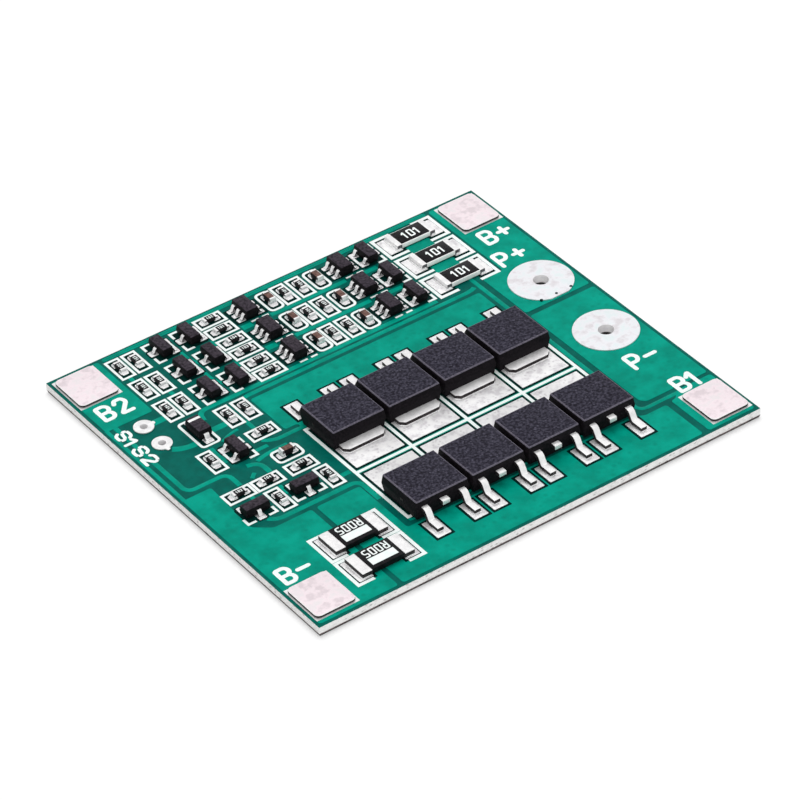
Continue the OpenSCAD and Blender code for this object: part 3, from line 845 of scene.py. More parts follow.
def formedLead(name, lead):  # out of the body, over a bend, down a slope and round to the foot
    drop = lead["height"] - lead["thick"] / 2
    slope = math.radians(lead["slope"])
    straight = (drop - 2 * lead["bend"] * (1 - math.cos(slope))) / math.sin(slope)
    foot = lead["run"] + 2 * lead["bend"] * math.sin(slope) + straight * math.cos(slope)
    upperBend = (lead["run"], 0, lead["height"] - lead["bend"])
    lowerBend = (foot, 0, lead["thick"] / 2 + lead["bend"])
    pick()
    bpy.ops.mesh.primitive_plane_add(size=1, location=(-lead["inside"], 0, lead["height"]),
                                     rotation=(0, math.pi / 2, 0))
    piece = named(name)
    piece.scale = (lead["thick"], lead["width"], 1)
    settle(piece)
    editAll(piece)
    extrude((lead["inside"] + lead["run"], 0, 0))
    bpy.ops.mesh.spin(steps=bendSteps, angle=-slope, center=upperBend, axis=(0, 1, 0))
    extrude((straight * math.cos(slope), 0, -straight * math.sin(slope)))
    bpy.ops.mesh.spin(steps=bendSteps, angle=slope, center=lowerBend, axis=(0, 1, 0))
    extrude((lead["reach"] - foot, 0, 0))
    closeUp()
    paint(soften(piece, lead["edge"], 2, 40), finishes["tin"])
    return trim(piece, finishes["cutMetalAndShade"], isDarkenedFace(lead))


def mouldedBody(name, size, body):  # widest at its parting line, drawn in above and below
    parting = body["parting"]
    piece = block(name, (-size.x / 2, -size.y / 2, 0), (size.x / 2, size.y / 2, size.z))
    editAll(piece)
    bpy.ops.mesh.bisect(plane_co=(0, 0, parting), plane_no=(0, 0, 1))
    for side, height in ((1, size.z - parting), (-1, parting)):
        narrow = 2 * height * math.tan(math.radians(body["draft"]))
        pickFaces(piece, lambda c, n: n.z * side > steep)
        scale = (1 - narrow / size.x, 1 - narrow / size.y, 1)
        bpy.ops.transform.resize(value=scale, center_override=(0, 0, 0))
    pickEdges(piece, lambda c, d: abs(c.z - parting) < hair and abs(d.z) < flat)
    bpy.ops.mesh.bevel(offset=body["flash"], segments=1)
    pick(piece)
    paint(soften(piece, body["edge"], 3, 30), finishes[body["finish"]])
    # painted shade: a darker copy of the epoxy on the sides; painted highlight: a lighter copy on the rounded
    # rim
    trim(piece, finishes[body["shadedSideFinish"]], lambda c, n: n.z < body["sideTo"])
    if "highlightRimFinish" in body:
        trim(piece, finishes[body["highlightRimFinish"]], lambda c, n: body["sideTo"] <= n.z < body["flatFrom"])
    return piece


# power transistors
mosfet = {
    "body": {"parting": 1.3 * mm, "draft": 8, "flash": 0.05 * mm, "edge": 0.12 * mm, "sideTo": 0.35,
             "flatFrom": 0.99, "finish": "mosfetEpoxy", "shadedSideFinish": "mosfetSideShade", "highlightRimFinish": "mosfetRimHighlight"},
    "lead": {"width": 0.76 * mm, "thick": 0.5 * mm, "height": 1.3 * mm, "reach": 2.7 * mm, "inside": 0.5 * mm,
             "run": 0.2 * mm, "bend": 0.4 * mm, "slope": 60, "edge": 0.06 * mm,
             "sideFrom": 0.8, "cutWithin": 0.05 * mm},
    "leadX": 2.285 * mm,
    "tabWidth": 5.2 * mm, "tabThick": 0.5 * mm, "tabIn": 4.2 * mm,
    "tabChamfer": 0.5 * mm, "tabEdge": 0.05 * mm,
    "stubWidth": 0.9 * mm, "stubOut": 0.6 * mm, "stubIn": 0.4 * mm,
    "tieBar": (0.5 * mm, 0.24 * mm, 0.03 * mm), "tieBarIn": 0.1 * mm, "tieBarShift": 0.55 * mm}

low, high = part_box("mosfet_1_body")
mosfetSize = high - low
tabOut = mid((low, high)).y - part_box("mosfet_1_leadframe")[0].y  # from the body's middle to the tab's end
tabHalf = mosfet["tabWidth"] / 2


def drainTab():
    tabFrom, chamfer = mosfetSize.y / 2 - mosfet["tabIn"], mosfet["tabChamfer"]
    outline = [(-tabHalf, tabFrom), (tabHalf, tabFrom), (tabHalf, tabOut - chamfer),
               (tabHalf - chamfer, tabOut), (-tabHalf + chamfer, tabOut), (-tabHalf, tabOut - chamfer)]
    piece = soften(plate("drainTab", outline, 0, mosfet["tabThick"]), mosfet["tabEdge"], 3, 30)
    # the tab's upright faces are painted near-black as shade
    return trim(paint(piece, finishes["tin"]), finishes["cutMetalAndShade"], lambda c, n: abs(n.z) < slant)


def middleStub():  # the clipped middle lead
    lead, side = mosfet["lead"], mosfet["stubWidth"] / 2
    leadLow, bodyEnd = lead["height"] - lead["thick"] / 2, -mosfetSize.y / 2
    piece = block("stub", (-side, bodyEnd - mosfet["stubOut"], leadLow),
                  (side, bodyEnd + mosfet["stubIn"], leadLow + lead["thick"]))
    paint(soften(piece, mosfet["tabEdge"], 2), finishes["tin"])
    # the stub's sides are painted near-black: cut metal, darkened further as painted shade
    return trim(piece, finishes["cutMetalAndShade"], lambda c, n: abs(n.x) > lead["sideFrom"])


def tieBar(side):  # cut end of the strip that held the frame in its mould
    long, tall, out = mosfet["tieBar"]
    edgeX, y, z = side * mosfetSize.x / 2, -mosfet["tieBarShift"], mosfet["body"]["parting"]
    near, far = sorted((edgeX - side * mosfet["tieBarIn"], edgeX + side * out))
    piece = block("tieBar", (near, y - long / 2, z - tall / 2), (far, y + long / 2, z + tall / 2))
    return paint(piece, finishes["cutMetalAndShade"])


bodyPattern = mouldedBody("mosfetBodyPattern", mosfetSize, mosfet["body"])
frameParts = [drainTab(), middleStub()]
sideLead = formedLead("sideLead", mosfet["lead"])
for side in (-1, 1):
    frameParts.append(copyTo(sideLead, "lead", (side * mosfet["leadX"], -mosfetSize.y / 2, 0), -90))
    frameParts.append(tieBar(side))
remove(sideLead)
framePattern = join("mosfetFramePattern", frameParts)


def restingPair(x, halfWidth, start, end):  # a foot or tab's rectangle on its power land
    near, far = sorted((start, end))
    contact = (Vector((x - halfWidth, near, seat)), Vector((x + halfWidth, far, seat)))
    return contact, landUnder(contact, powerLands)


footPairs, drainPairs = [], []
for index in range(1, 9):
    body, leadframe = f"mosfet_{index}_body", f"mosfet_{index}_leadframe"
    low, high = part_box(leadframe)
    x, y = mid(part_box(body)).xy
    way = 1 if mid((low, high)).y > y else -1  # towards the leads
    turn = 180 if way > 0 else 0
    dress(copyTo(bodyPattern, f"mosfetBody{index}", (x, y, seat), turn), "mosfet_epoxy", body)
    dress(copyTo(framePattern, f"mosfetFrame{index}", (x, y, seat), turn), "tinned_lead", leadframe)
    tip, tabEnd = (high.y, low.y) if way > 0 else (low.y, high.y)
    footEnd = tip - way * joints["mosfetLeadSolder"]["contact"]
    for side in (-1, 1):
        footPairs.append(restingPair(x + side * mosfet["leadX"], mosfet["lead"]["width"] / 2, tip, footEnd))
    underBody = y - way * (mosfetSize.y / 2 - joints["drainSolder"]["contact"])
    drainPairs.append(restingPair(x, tabHalf, tabEnd, underBody))
remove(bodyPattern, framePattern)
solderJoints("mosfetLeadSolder", footPairs)
solderJoints("drainSolder", drainPairs, mosfet["tabChamfer"])
print("power transistors done")

# small packages: circuits, transistors and the diode
small = {
    "body": {"draft": 8, "flash": 0.02 * mm, "edge": 0.04 * mm, "sideTo": 0.35,
             "finish": "smallEpoxy", "shadedSideFinish": "smallSideShade"},
    "lead": {"width": 0.46 * mm, "thick": 0.13 * mm, "reach": 0.58 * mm, "inside": 0.2 * mm, "run": 0.02 * mm,
             "bend": 0.13 * mm, "slope": 66, "edge": 0.02 * mm, "sideFrom": 0.8, "cutWithin": 0.05 * mm},
    "leadsWithin": 1.6 * mm,
    "pinMark": {"inX": 0.38 * mm, "inY": 0.4 * mm, "radius": 0.13 * mm, "deep": 0.02 * mm},
    "diodeLead": 0.6 * mm,
    "band": {"in": 0.1 * mm, "from": 0.75 * mm, "to": 0.4 * mm, "sunk": 0.02 * mm, "proud": 0.004 * mm,
             "edge": 0.003 * mm},
}


def leadRows(bodyNode, leads):  # places for the leads of a body, and each foot with its land
    low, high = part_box(bodyNode)
    centre = mid((low, high))
    reach, foot = small["lead"]["reach"], joints["smallLeadSolder"]["contact"]
    places, pairs = [], []
    for corners in leads:
        way = mid(corners) - centre
        axis = 0 if abs(way.x) / (high.x - low.x) > abs(way.y) / (high.y - low.y) else 1
        side = 1 if way[axis] > 0 else -1
        at = [*mid(corners).xy, seat]
        at[axis] = high[axis] if side > 0 else low[axis]
        near, far = sorted((at[axis] + side * reach, at[axis] + side * (reach - foot)))
        contact = [Vector((*corner.xy, seat)) for corner in corners]
        contact[0][axis], contact[1][axis] = near, far
        turn = (0 if side > 0 else 180) if axis == 0 else 90 * side
        places.append((at, turn))
        pairs.append((contact, landUnder(contact, signalLands)))
    return places, pairs


def upright(size):  # a body's size with its long side along Y
    return Vector((min(size.x, size.y), max(size.x, size.y), size.z))


def smallBody(name, size):
    return mouldedBody(name, size, {**small["body"], "parting": size.z / 2})


def smallLead(name, bodySize, **changed):  # leaves the body at half its height
    return formedLead(name, {**small["lead"], "height": standOff + bodySize.z / 2, **changed})


leadPairs = []
transistorPlaces = []
transistorTurns = []
low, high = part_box("transistor_1_body")
standOff = low.z - seat
pattern = smallBody("transistorPattern", upright(high - low))
for index in range(1, 13):
    node = f"transistor_{index}_body"
    low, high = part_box(node)
    centre = mid((low, high))
    mine = [c for c in transistorLeads if (mid(c) - centre).xy.length < small["leadsWithin"]]
    lean = sum(((mid(c) - centre).xy for c in mine), Vector((0, 0)))  # towards the pair of leads
    turn = math.degrees(math.atan2(lean.y, lean.x))
    transistorTurns.append((centre, turn))
    dress(copyTo(pattern, f"transistorBody{index}", (*centre.xy, low.z), turn), "small_epoxy", node)
    places, pairs = leadRows(node, mine)
    transistorPlaces += places
    leadPairs += pairs
remove(pattern)
leads = spread(smallLead("leadPattern", high - low), "transistorLeads", transistorPlaces)
dress(leads, "tinned_lead", "transistor_leads")

low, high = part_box("protection_ic_1_body")
icSize = high - low
mark = small["pinMark"]
pattern = smallBody("icPattern", icSize)
pinMark = rod("pinMark", (-icSize.x / 2 + mark["inX"], icSize.y / 2 - mark["inY"]), mark["radius"],
              icSize.z - mark["deep"], icSize.z + mm, 20)
cut(pattern, pinMark)
icLead = smallLead("icLeadPattern", icSize)
icBoxes = []
for kind in ("protection", "balance"):
    for index in (1, 2, 3):
        bodyNode, leadNode = f"{kind}_ic_{index}_body", f"{kind}_ic_{index}_leads"
        icBoxes.append(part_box(bodyNode))
        at = (*mid(icBoxes[-1]).xy, icBoxes[-1][0].z)
        dress(copyTo(pattern, f"{kind}Circuit{index}", at), "small_epoxy", bodyNode)
        places, pairs = leadRows(bodyNode, solidsOf(leadNode))
        leadPairs += pairs
        leads = spread(copyOf(icLead), f"{kind}Circuit{index}Leads", places)
        dress(leads, "tinned_lead", leadNode)
remove(pattern, icLead)

low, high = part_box("diode_body")
diodeSize = high - low
band = small["band"]
case = smallBody("diodeCase", diodeSize)
bandHalf = diodeSize.x / 2 - band["in"]
stripe = block("band", (-bandHalf, diodeSize.y / 2 - band["from"], diodeSize.z - band["sunk"]),
               (bandHalf, diodeSize.y / 2 - band["to"], diodeSize.z + band["proud"]))
paint(soften(stripe, band["edge"]), finishes["ceramic"])
case = movedTo(join("diodeCase", [case, stripe]), (*mid((low, high)).xy, low.z))
dress(case, "small_epoxy", "diode_body")
places, pairs = leadRows("diode_body", solidsOf("diode_leads"))
solderJoints("diodeSolder", pairs)
diodeLead = smallLead("diodeLead", diodeSize, width=small["diodeLead"])
dress(spread(diodeLead, "diodeLeads", places), "tinned_lead", "diode_leads")
solderJoints("smallLeadSolder", leadPairs)
print("small packages done")

# value codes and marks, drawn as rounded strokes: each sign in a square from -1 to 1
signs = {
    "B": [[(-1, -1), (-1, 1), (0.5, 1), (1, 0.7), (1, 0.3), (0.5, 0), (-1, 0)],
          [(0.4, 0), (0.5, 0), (1, -0.3), (1, -0.7), (0.5, -1), (-1, -1)]],
    "P": [[(-1, -1), (-1, 1), (0.5, 1), (1, 0.65), (1, 0.25), (0.5, -0.1), (-1, -0.1)]],
    "R": [[(-1, -1), (-1, 1), (1, 1), (1, 0), (-1, 0)], [(0, 0), (1, -1)]],
    "S": [[(1, 0.55), (0.6, 1), (-0.6, 1), (-1, 0.65), (-1, 0.35), (-0.6, 0.05), (0.6, -0.05), (1, -0.35),
           (1, -0.65), (0.6, -1), (-0.6, -1), (-1, -0.55)]],
    "0": [[(-1, -1), (-1, 1), (1, 1), (1, -1), (-1, -1)]],
    "1": [[(-0.9, 0.45), (0, 1), (0, -1)]],
    "2": [[(-1, 0.55), (-0.6, 1), (0.6, 1), (1, 0.65), (1, 0.3), (-1, -1), (1, -1)]],
    "3": [[(-1, 1), (1, 1), (1, -1), (-1, -1)], [(-0.4, 0), (1, 0)]],
    "4": [[(0.5, -1), (0.5, 1), (-1, -0.3), (1, -0.3)]],
    "5": [[(1, 1), (-1, 1), (-1, 0.1), (0.6, 0.1), (1, -0.2), (1, -0.7), (0.6, -1), (-1, -1)]],
    "+": [[(-1, 0), (1, 0)], [(0, -1), (0, 1)]],
    "-": [[(-1, 0), (1, 0)]],
}
pen = {"bend": 0.5, "bendMost": 0.19 * mm, "endHigh": 0.97, "endSides": 12,  # bend in stroke widths
       "code": 0.006 * mm}


def writing(text, ink, thick, turn=0):
    width, height, stroke = ink["width"] - ink["stroke"], ink["height"] - ink["stroke"], ink["stroke"]
    pitch = ink["width"] + ink.get("gap", 0)
    bend = min(stroke * pen["bend"], pen["bendMost"])
    parts = []
    for index, sign in enumerate(text):
        middle = (index - (len(text) - 1) / 2) * pitch
        ends = set()
        for line in signs[sign]:
            points = [(middle + x * width / 2, y * height / 2) for x, y in line]
            parts.append(ribbon("stroke", stroke, points, bend, 0, thick))
            ends |= {points[0], points[-1]}
        parts += [rod("end", end, stroke / 2, 0, thick * pen["endHigh"], pen["endSides"])
                  for end in sorted(ends)]
    piece = join("writing", parts)
    piece.rotation_euler.z = math.radians(turn)
    return paint(settle(piece), finishes["whitePrint"])


# chips: ceramic painted near-black as shade, with a black glaze and a value code, or brown ceramic, between
# tinned ends
chip = {"cap": 0.26 * mm, "edge": 0.04 * mm, "codes": ["102", "103", "104", "101"],
        "glazeIn": 0.06 * mm, "glazeSunk": 0.01 * mm, "glaze": 0.015 * mm, "glazeEdge": 0.01 * mm,
        "ink": {"width": 0.21 * mm, "height": 0.4 * mm, "stroke": 0.075 * mm, "gap": 0.06 * mm}}
capacitor = {"cap": 0.26 * mm, "edge": 0.07 * mm}
capWrap, capSideFrom = 0.03 * mm, 0.6


def onLongSide(middle, normal):
    return abs(normal.y) > capSideFrom


def cappedCore(size, cap, coreFinish, edge):
    half = size / 2
    core = block("core", (-half.x + capWrap, -half.y + capWrap, capWrap),
                 (half.x - capWrap, half.y - capWrap, size.z - capWrap))
    parts = [paint(soften(core, edge, 2), finishes[coreFinish])]
    for side in (-1, 1):
        near, far = sorted((side * half.x, side * (half.x - cap)))
        end = soften(block("cap", (near, -half.y, 0), (far, half.y, size.z)), edge, 3)
        # the long sides of each end are painted darker grey as shade
        parts.append(trim(paint(end, finishes["tin"]), finishes["capSideShade"], onLongSide))
    return parts


def glazed(size, reach, side, thick, edge):  # black glaze on the flat top of a core, and how high it comes
    glazeTop = size.z - capWrap + thick
    glaze = block("glaze", (-reach, -side, size.z - capWrap - chip["glazeSunk"]), (reach, side, glazeTop))
    return paint(soften(glaze, edge, 2), finishes["blackGlaze"]), glazeTop


def chipPattern(size, code):
    # the core is painted near-black as shade
    parts = cappedCore(size, chip["cap"], "shadedChipCeramic", chip["edge"])
    reach, side = size.x / 2 - chip["cap"], size.y / 2 - chip["glazeIn"]
    glaze, glazeTop = glazed(size, reach, side, chip["glaze"], chip["glazeEdge"])
    marks = movedTo(writing(code, chip["ink"], pen["code"]), (0, 0, glazeTop))
    return join("chip", parts + [glaze, marks])


def lying(corners):  # a chip's size with its long side along X
    size = corners[1] - corners[0]
    return Vector((max(size.x, size.y), min(size.x, size.y), size.z))


def chipPlaces(chips):
    return [((*mid(c).xy, c[0].z), turnOf(c)) for c in chips]


chipParts = []
for number, code in enumerate(chip["codes"]):  # the codes take turns
    group = chipResistors[number::len(chip["codes"])]
    chipParts.append(spread(chipPattern(lying(group[0]), code), "chips", chipPlaces(group)))
dress(join("chipResistors", chipParts), "chip_black", "chip_resistors")

parts = cappedCore(lying(chipCapacitors[0]), capacitor["cap"], "capacitorBrown", capacitor["edge"])
# the capacitor's long sides are painted near-black as shade
trim(parts[0], finishes["smallSideShade"], onLongSide)
capacitors = spread(join("capacitor", parts), "chipCapacitors", chipPlaces(chipCapacitors))
dress(capacitors, "capacitor_ceramic", "chip_capacitors")
print("chips done")

# balance resistors: white ceramic with a wide black glaze
balance = {"cap": 0.65 * mm, "edge": 0.06 * mm, "code": "101", "codeX": 0.1 * mm,
           "glaze": (3.75 * mm, 2.25 * mm, 0.025 * mm), "glazeEdge": 0.02 * mm,
           "ink": {"width": 0.7 * mm, "height": 1.3 * mm, "stroke": 0.2 * mm, "gap": 0.08 * mm}}
size = balanceResistors[0][1] - balanceResistors[0][0]
for index, (low, high) in enumerate(balanceResistors, 1):
    parts = cappedCore(size, balance["cap"], "ceramic", balance["edge"])
    length, width, thick = balance["glaze"]
    glaze, glazeTop = glazed(size, length / 2, width / 2, thick, balance["glazeEdge"])
    code = movedTo(writing(balance["code"], balance["ink"], pen["code"]), (balance["codeX"], 0, glazeTop))
    piece = join(f"balanceResistor{index}", parts + [glaze, code])
    dress(movedTo(piece, (*mid((low, high)).xy, low.z)), "resistor_ceramic", f"balance_resistor_{index}")

# shunts: bent metal ends round a black coat, the value code turned to the front
shunt = {"end": 1.2 * mm, "endEdge": 0.1 * mm, "endIn": 0.02 * mm, "cutTo": 0.4,
         "coat": 0.05 * mm, "coatIn": 0.03 * mm, "coatEdge": 0.06 * mm, "coatDown": 0.006 * mm,
         "code": "R005", "codeY": 0.72 * mm,
         "ink": {"width": 0.62 * mm, "height": 1.2 * mm, "stroke": 0.17 * mm, "gap": 0.16 * mm},
         "bar": (3.1 * mm, 1.05 * mm), "barY": -0.58 * mm, "barDeep": 0.02 * mm}


def shuntEnd(side, size):
    half = size / 2
    near, far = sorted((side * half.x, side * (half.x - shunt["end"] - shunt["endIn"])))
    end = block("end", (near, -half.y, 0), (far, half.y, size.z - shunt["coat"]))
    paint(soften(end, shunt["endEdge"], 4), finishes["tin"])
    # the ends' upright faces are painted near-black as shade
    return trim(end, finishes["cutMetalAndShade"], lambda c, n: abs(n.z) < shunt["cutTo"])


size = shuntResistors[0][1] - shuntResistors[0][0]
for index, (low, high) in enumerate(shuntResistors, 1):
    half = size / 2
    coatTop = size.z - shunt["coatDown"]
    coat = block("coat", (-half.x + shunt["end"], -half.y + shunt["coatIn"], shunt["coat"]),
                 (half.x - shunt["end"], half.y - shunt["coatIn"], coatTop))
    parts = [paint(soften(coat, shunt["coatEdge"], 3), finishes["blackGlaze"])]
    parts += [shuntEnd(side, size) for side in (-1, 1)]
    code = writing(shunt["code"], shunt["ink"], pen["code"], 180)
    parts.append(movedTo(code, (0, shunt["codeY"], coatTop)))
    barLong, barWide = shunt["bar"]
    bar = block("bar", (-barLong / 2, shunt["barY"] - barWide / 2, size.z - shunt["barDeep"]),
                (barLong / 2, shunt["barY"] + barWide / 2, size.z))
    parts.append(paint(bar, finishes["whitePrint"]))
    piece = join(f"shunt{index}", parts)
    dress(movedTo(piece, (*mid((low, high)).xy, low.z)), "shunt_coat", f"shunt_resistor_{index}")
print("power resistors done")

# white print on the mask: frames, marks and their places in millimetres
printed = {
    "thick": 0.012 * mm, "windowHigh": 0.002 * mm, "windowSunk": 0.001 * mm, "windowCorner": 0.1 * mm,
    "stroke": 0.3, "capCorner": 0.6,
    "chipUpright": (3.8, 1.8), "chipLying": (3.45, 2.0), "capUpright": (3.7, 1.95), "capLying": (3.35, 2.25),
    "transistor": (3.0, 3.75), "transistorArm": 1.1, "transistorLine": 0.5,
    "circuit": (4.0, 2.9), "circuitMarks": [(-0.5, 0.45), (0.9, 1.7)], "circuitMarkY": (-1.95, -1.7),
    "diode": (2.45, 5.05), "diodeCorner": 0.5, "diodeShift": (-0.05, -0.1),
    "balance": (7.9, 4.2, 0.4, 2.9), "shunt": (8.37, 4.5, 0.4, 4.2),  # long, wide, stroke, gap
    "blockStroke": 0.38, "blockFront": -16.85, "blockBack": 1.6, "tick": 0.95, "crossHigh": 0.9,
    "largeInk": {"width": 1.76 * mm, "height": 2.8 * mm, "stroke": 0.5 * mm},
    "smallInk": {"width": 1.6 * mm, "height": 1.8 * mm, "stroke": 0.38 * mm},
    "largeSigns": [
        ("B", -25.37, 16.75), ("2", -23.33, 16.75), ("B", 23.65, 16.7), ("+", 25.65, 16.7),
        ("P", 22.47, 12.45), ("+", 24.5, 12.4), ("P", 22.37, -10.67), ("-", 24.35, -10.7),
        ("B", 23.65, -16.7), ("1", 25.35, -16.7), ("B", -25.55, -16.5), ("-", -23.55, -16.5)],
    "smallSigns": [("S", -26.02, 12.33), ("1", -26.02, 10.85), ("S", -26.02, 9.12), ("2", -26.02, 7.35)],
}
thick = printed["thick"]


# a printed frame, in millimetres: each gap is the axis and place of a cut and a test for what goes
def frameRing(long, wide, stroke, corner=0.0, gaps=()):
    pick()
    bpy.ops.mesh.primitive_plane_add(size=1)
    piece = named("frame")
    piece.scale = (long * mm, wide * mm, 1)
    settle(piece)
    editAll(piece, "VERT")
    if corner:
        bpy.ops.mesh.bevel(offset=corner * mm, segments=cornerSteps, affect="VERTICES")
        bpy.ops.mesh.select_all(action="SELECT")
    bpy.ops.mesh.select_mode(type="FACE")
    bpy.ops.mesh.select_all(action="SELECT")
    bpy.ops.mesh.inset(thickness=stroke * mm, depth=0)
    bpy.ops.mesh.delete(type="FACE")
    for axis, value, _ in gaps:
        across = Vector([1 if i == axis else 0 for i in range(3)])
        editAll(piece)
        bpy.ops.mesh.bisect(plane_co=across * value * mm, plane_no=across)
    for axis, value, goes in gaps:
        if goes:
            pickFaces(piece, lambda c, n: goes(c.x / mm, c.y / mm))
            bpy.ops.mesh.delete(type="FACE")
    editAll(piece)
    extrude((0, 0, thick))
    bpy.ops.mesh.select_all(action="SELECT")
    bpy.ops.mesh.normals_make_consistent(inside=False)
    pick(piece)
    return piece


printParts, windows = [], []


def window(long, wide, places):  # a near-black pane inside a printed frame, painted shade over the mask, in millimetres
    half = Vector((long, wide)) * mm / 2
    pane = plate("window", rectangle(-half, half), -printed["windowSunk"], printed["windowHigh"],
                 printed["windowCorner"])
    windows.append(spread(pane, "windows", places))


stroke = printed["stroke"]
for solids, kind, corner in ((chipResistors, "chip", 0), (chipCapacitors, "cap", printed["capCorner"])):
    for turn, pose in ((90, "Upright"), (0, "Lying")):
        long, wide = printed[kind + pose]
        places = [((*mid(c).xy, boardTop), turn) for c in solids if turnOf(c) == turn]
        printParts.append(spread(frameRing(long, wide, stroke, corner), "frames", places))
        window(long - stroke, wide - stroke, places)

# transistors: two corner marks on the side of the single lead and a line between the pair
wide, long = printed["transistor"]
arm, line = printed["transistorArm"], printed["transistorLine"]
marks = frameRing(wide, long, stroke, 0, [
    (0, -wide / 2 + arm, lambda x, y: abs(y) > long / 2 - stroke and x > -wide / 2 + arm),
    (1, long / 2 - arm, lambda x, y: x < -wide / 2 + stroke and abs(y) < long / 2 - arm),
    (1, -long / 2 + arm, None),
    (1, line, lambda x, y: x > wide / 2 - stroke and abs(y) > line),
    (1, -line, None)])
places = [((*centre.xy, boardTop), turn) for centre, turn in transistorTurns]
printParts.append(spread(marks, "transistorMarks", places))
window(wide - stroke, long - stroke, places)

# circuits: a short line at the end of the body and one past the last lead
near, far = printed["circuitMarkY"]
marks = [block("mark", (left * mm, near * mm, 0), (right * mm, far * mm, thick))
         for left, right in printed["circuitMarks"]]
places = [((*mid(corners).xy, boardTop), 0) for corners in icBoxes]
printParts.append(spread(join("marks", marks), "circuitMarks", places))
window(*printed["circuit"], places)

# diode, balance resistors and shunts
long, wide = printed["diode"]
shiftX, shiftY = printed["diodeShift"]
diodeMid = mid(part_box("diode_body"))
at = (diodeMid.x + shiftX * mm, diodeMid.y + shiftY * mm, boardTop)
printParts.append(movedTo(frameRing(long, wide, stroke, printed["diodeCorner"]), at))
window(long - stroke, wide - stroke, [(at, 0)])
dress(paint(join("shadeWindows", windows), finishes["gapShade"]), "solder_mask")
for kind, solids in (("balance", balanceResistors), ("shunt", shuntResistors)):
    long, wide, ringStroke, gap = printed[kind]
    gaps = [(0, gap / 2, lambda x, y: abs(x) < gap / 2), (0, -gap / 2, None)]
    ring = frameRing(long, wide, ringStroke, 0, gaps)
    printParts.append(spread(ring, "frames", [((*mid(c).xy, boardTop), 0) for c in solids]))

# power transistor block: a grid of lines, open where the sides step in
pitch = mid(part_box("mosfet_2_body")).x - mid(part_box("mosfet_1_body")).x
blockMid = (mid(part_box("mosfet_1_body")) + mid(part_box("mosfet_8_body"))) / 2
blockStroke = printed["blockStroke"] * mm
back, front = printed["blockBack"] * mm, printed["blockFront"] * mm
crossTop = boardTop + thick * printed["crossHigh"]  # lower than the lines it crosses
reach = 2 * pitch


def gridLine(name, x, y, top):  # from the first to the second of each pair
    printParts.append(block(name, (x[0], y[0], boardTop), (x[1], y[1], top)))


for column in range(5):
    x = blockMid.x + (column - 2) * pitch
    gridLine("line", (x - blockStroke / 2, x + blockStroke / 2), (front, back), boardTop + thick)
gridLine("line", (blockMid.x - reach, blockMid.x + reach),
         (blockMid.y - blockStroke / 2, blockMid.y + blockStroke / 2), crossTop)
for x, way in ((blockMid.x - reach, 1), (blockMid.x + reach, -1)):
    for y, inner in ((back, back - blockStroke), (front, front + blockStroke)):
        xs = sorted((x - way * blockStroke / 2, x + way * printed["tick"] * mm))
        gridLine("tick", xs, sorted((y, inner)), crossTop)

for sign, x, y in printed["largeSigns"]:
    ink = dict(printed["largeInk"])
    if sign in "+-":
        ink["height"] = ink["width"]
    printParts.append(movedTo(writing(sign, ink, thick), (x * mm, y * mm, boardTop)))
for sign, x, y in printed["smallSigns"]:
    printParts.append(movedTo(writing(sign, printed["smallInk"], thick, -90), (x * mm, y * mm, boardTop)))
dress(paint(join("whitePrint", printParts), finishes["whitePrint"]), "silk_print")
print("print done")

# floor, light and camera
stage = {"floor": 3.0, "floorDown": 0.02 * mm, "floorTone": 0.7, "floorShown": 1.02, "floorRough": 0.9,
         "ambient": 0.5,
         "key": {"power": 2.4, "size": 0.55, "place": (0.12, 0.2, 0.6)},
         "fill": {"power": 0.95, "size": 0.4, "place": (-0.25, -0.45, 0.22)}}


def shownTo(tree):  # 1 for what the camera, mirrors and glass see, 0 for the light on matt surfaces
    rays = tree.nodes.new("ShaderNodeLightPath")
    total = rays.outputs["Is Camera Ray"]
    for kind in ("Is Glossy Ray", "Is Transmission Ray"):
        both = tree.nodes.new("ShaderNodeMath")
        both.operation = "MAXIMUM"
        tree.links.new(total, both.inputs[0])
        tree.links.new(rays.outputs[kind], both.inputs[1])
        total = both.outputs[0]
    return total


def mapped(tree, source, low, high):
    level = tree.nodes.new("ShaderNodeMapRange")
    level.inputs["To Min"].default_value = low
    level.inputs["To Max"].default_value = high
    tree.links.new(source, level.inputs["Value"])
    return level.outputs["Result"]


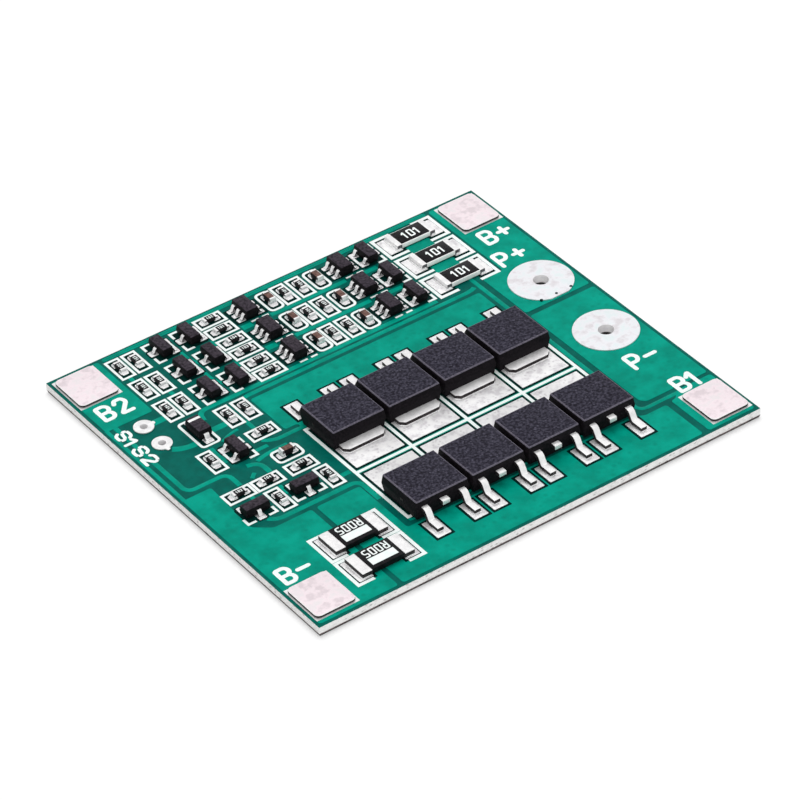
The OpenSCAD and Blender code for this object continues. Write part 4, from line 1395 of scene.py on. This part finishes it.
pick()
bpy.ops.mesh.primitive_plane_add(size=stage["floor"], location=(0, 0, -stage["floorDown"]))
floor = named("floor")
material = bpy.data.materials.new("paleFloor")
material.use_nodes = True
tree = material.node_tree
shader = tree.nodes["Principled BSDF"]
tone = stage["floorTone"]
shader.inputs["Base Color"].default_value = (tone, tone, tone, 1)
shader.inputs["Roughness"].default_value = stage["floorRough"]
shader.inputs["Specular IOR Level"].default_value = 0.0
shader.inputs["Emission Color"].default_value = (1, 1, 1, 1)
glow = mapped(tree, shownTo(tree), 0, stage["floorShown"] - tone)
tree.links.new(glow, shader.inputs["Emission Strength"])
floor.data.materials.append(material)

world = bpy.data.worlds.new("studio")
bpy.context.scene.world = world
world.use_nodes = True
tree = world.node_tree
sky = tree.nodes["Background"]
sky.inputs["Color"].default_value = (1, 1, 1, 1)
tree.links.new(mapped(tree, shownTo(tree), stage["ambient"], 1), sky.inputs["Strength"])

for name in ("key", "fill"):
    lamp = bpy.data.lights.new(name, "AREA")
    lamp.shape = "SQUARE"
    lamp.size = stage[name]["size"]
    lamp.energy = stage[name]["power"]
    holder = bpy.data.objects.new(name, lamp)
    bpy.context.scene.collection.objects.link(holder)
    holder.location = stage[name]["place"]
    holder.rotation_euler = (-holder.location).to_track_quat("-Z", "Y").to_euler()
    holder.visible_glossy = False

view = {"azimuth": -33.5, "elevation": 37.7, "roll": -3.4, "distance": 0.466, "lens": 203, "sensor": 36,
        "target": (0, 0, 0.6 * mm), "nearest": 0.01}
azimuth, elevation, roll = (math.radians(view[k]) for k in ("azimuth", "elevation", "roll"))
level = math.cos(elevation)
back = Vector((math.sin(azimuth) * level, -math.cos(azimuth) * level, math.sin(elevation)))
camera = bpy.data.objects.new("camera", bpy.data.cameras.new("camera"))
bpy.context.scene.collection.objects.link(camera)
camera.location = Vector(view["target"]) + back * view["distance"]
camera.rotation_euler = back.to_track_quat("Z", "Y").to_euler()
camera.rotation_euler.rotate_axis("Z", roll)
camera.data.lens = view["lens"]
camera.data.sensor_width = view["sensor"]
camera.data.clip_start = view["nearest"]
bpy.context.scene.camera = camera

bpy.context.scene.view_settings.view_transform = "Standard"

print("scene done")
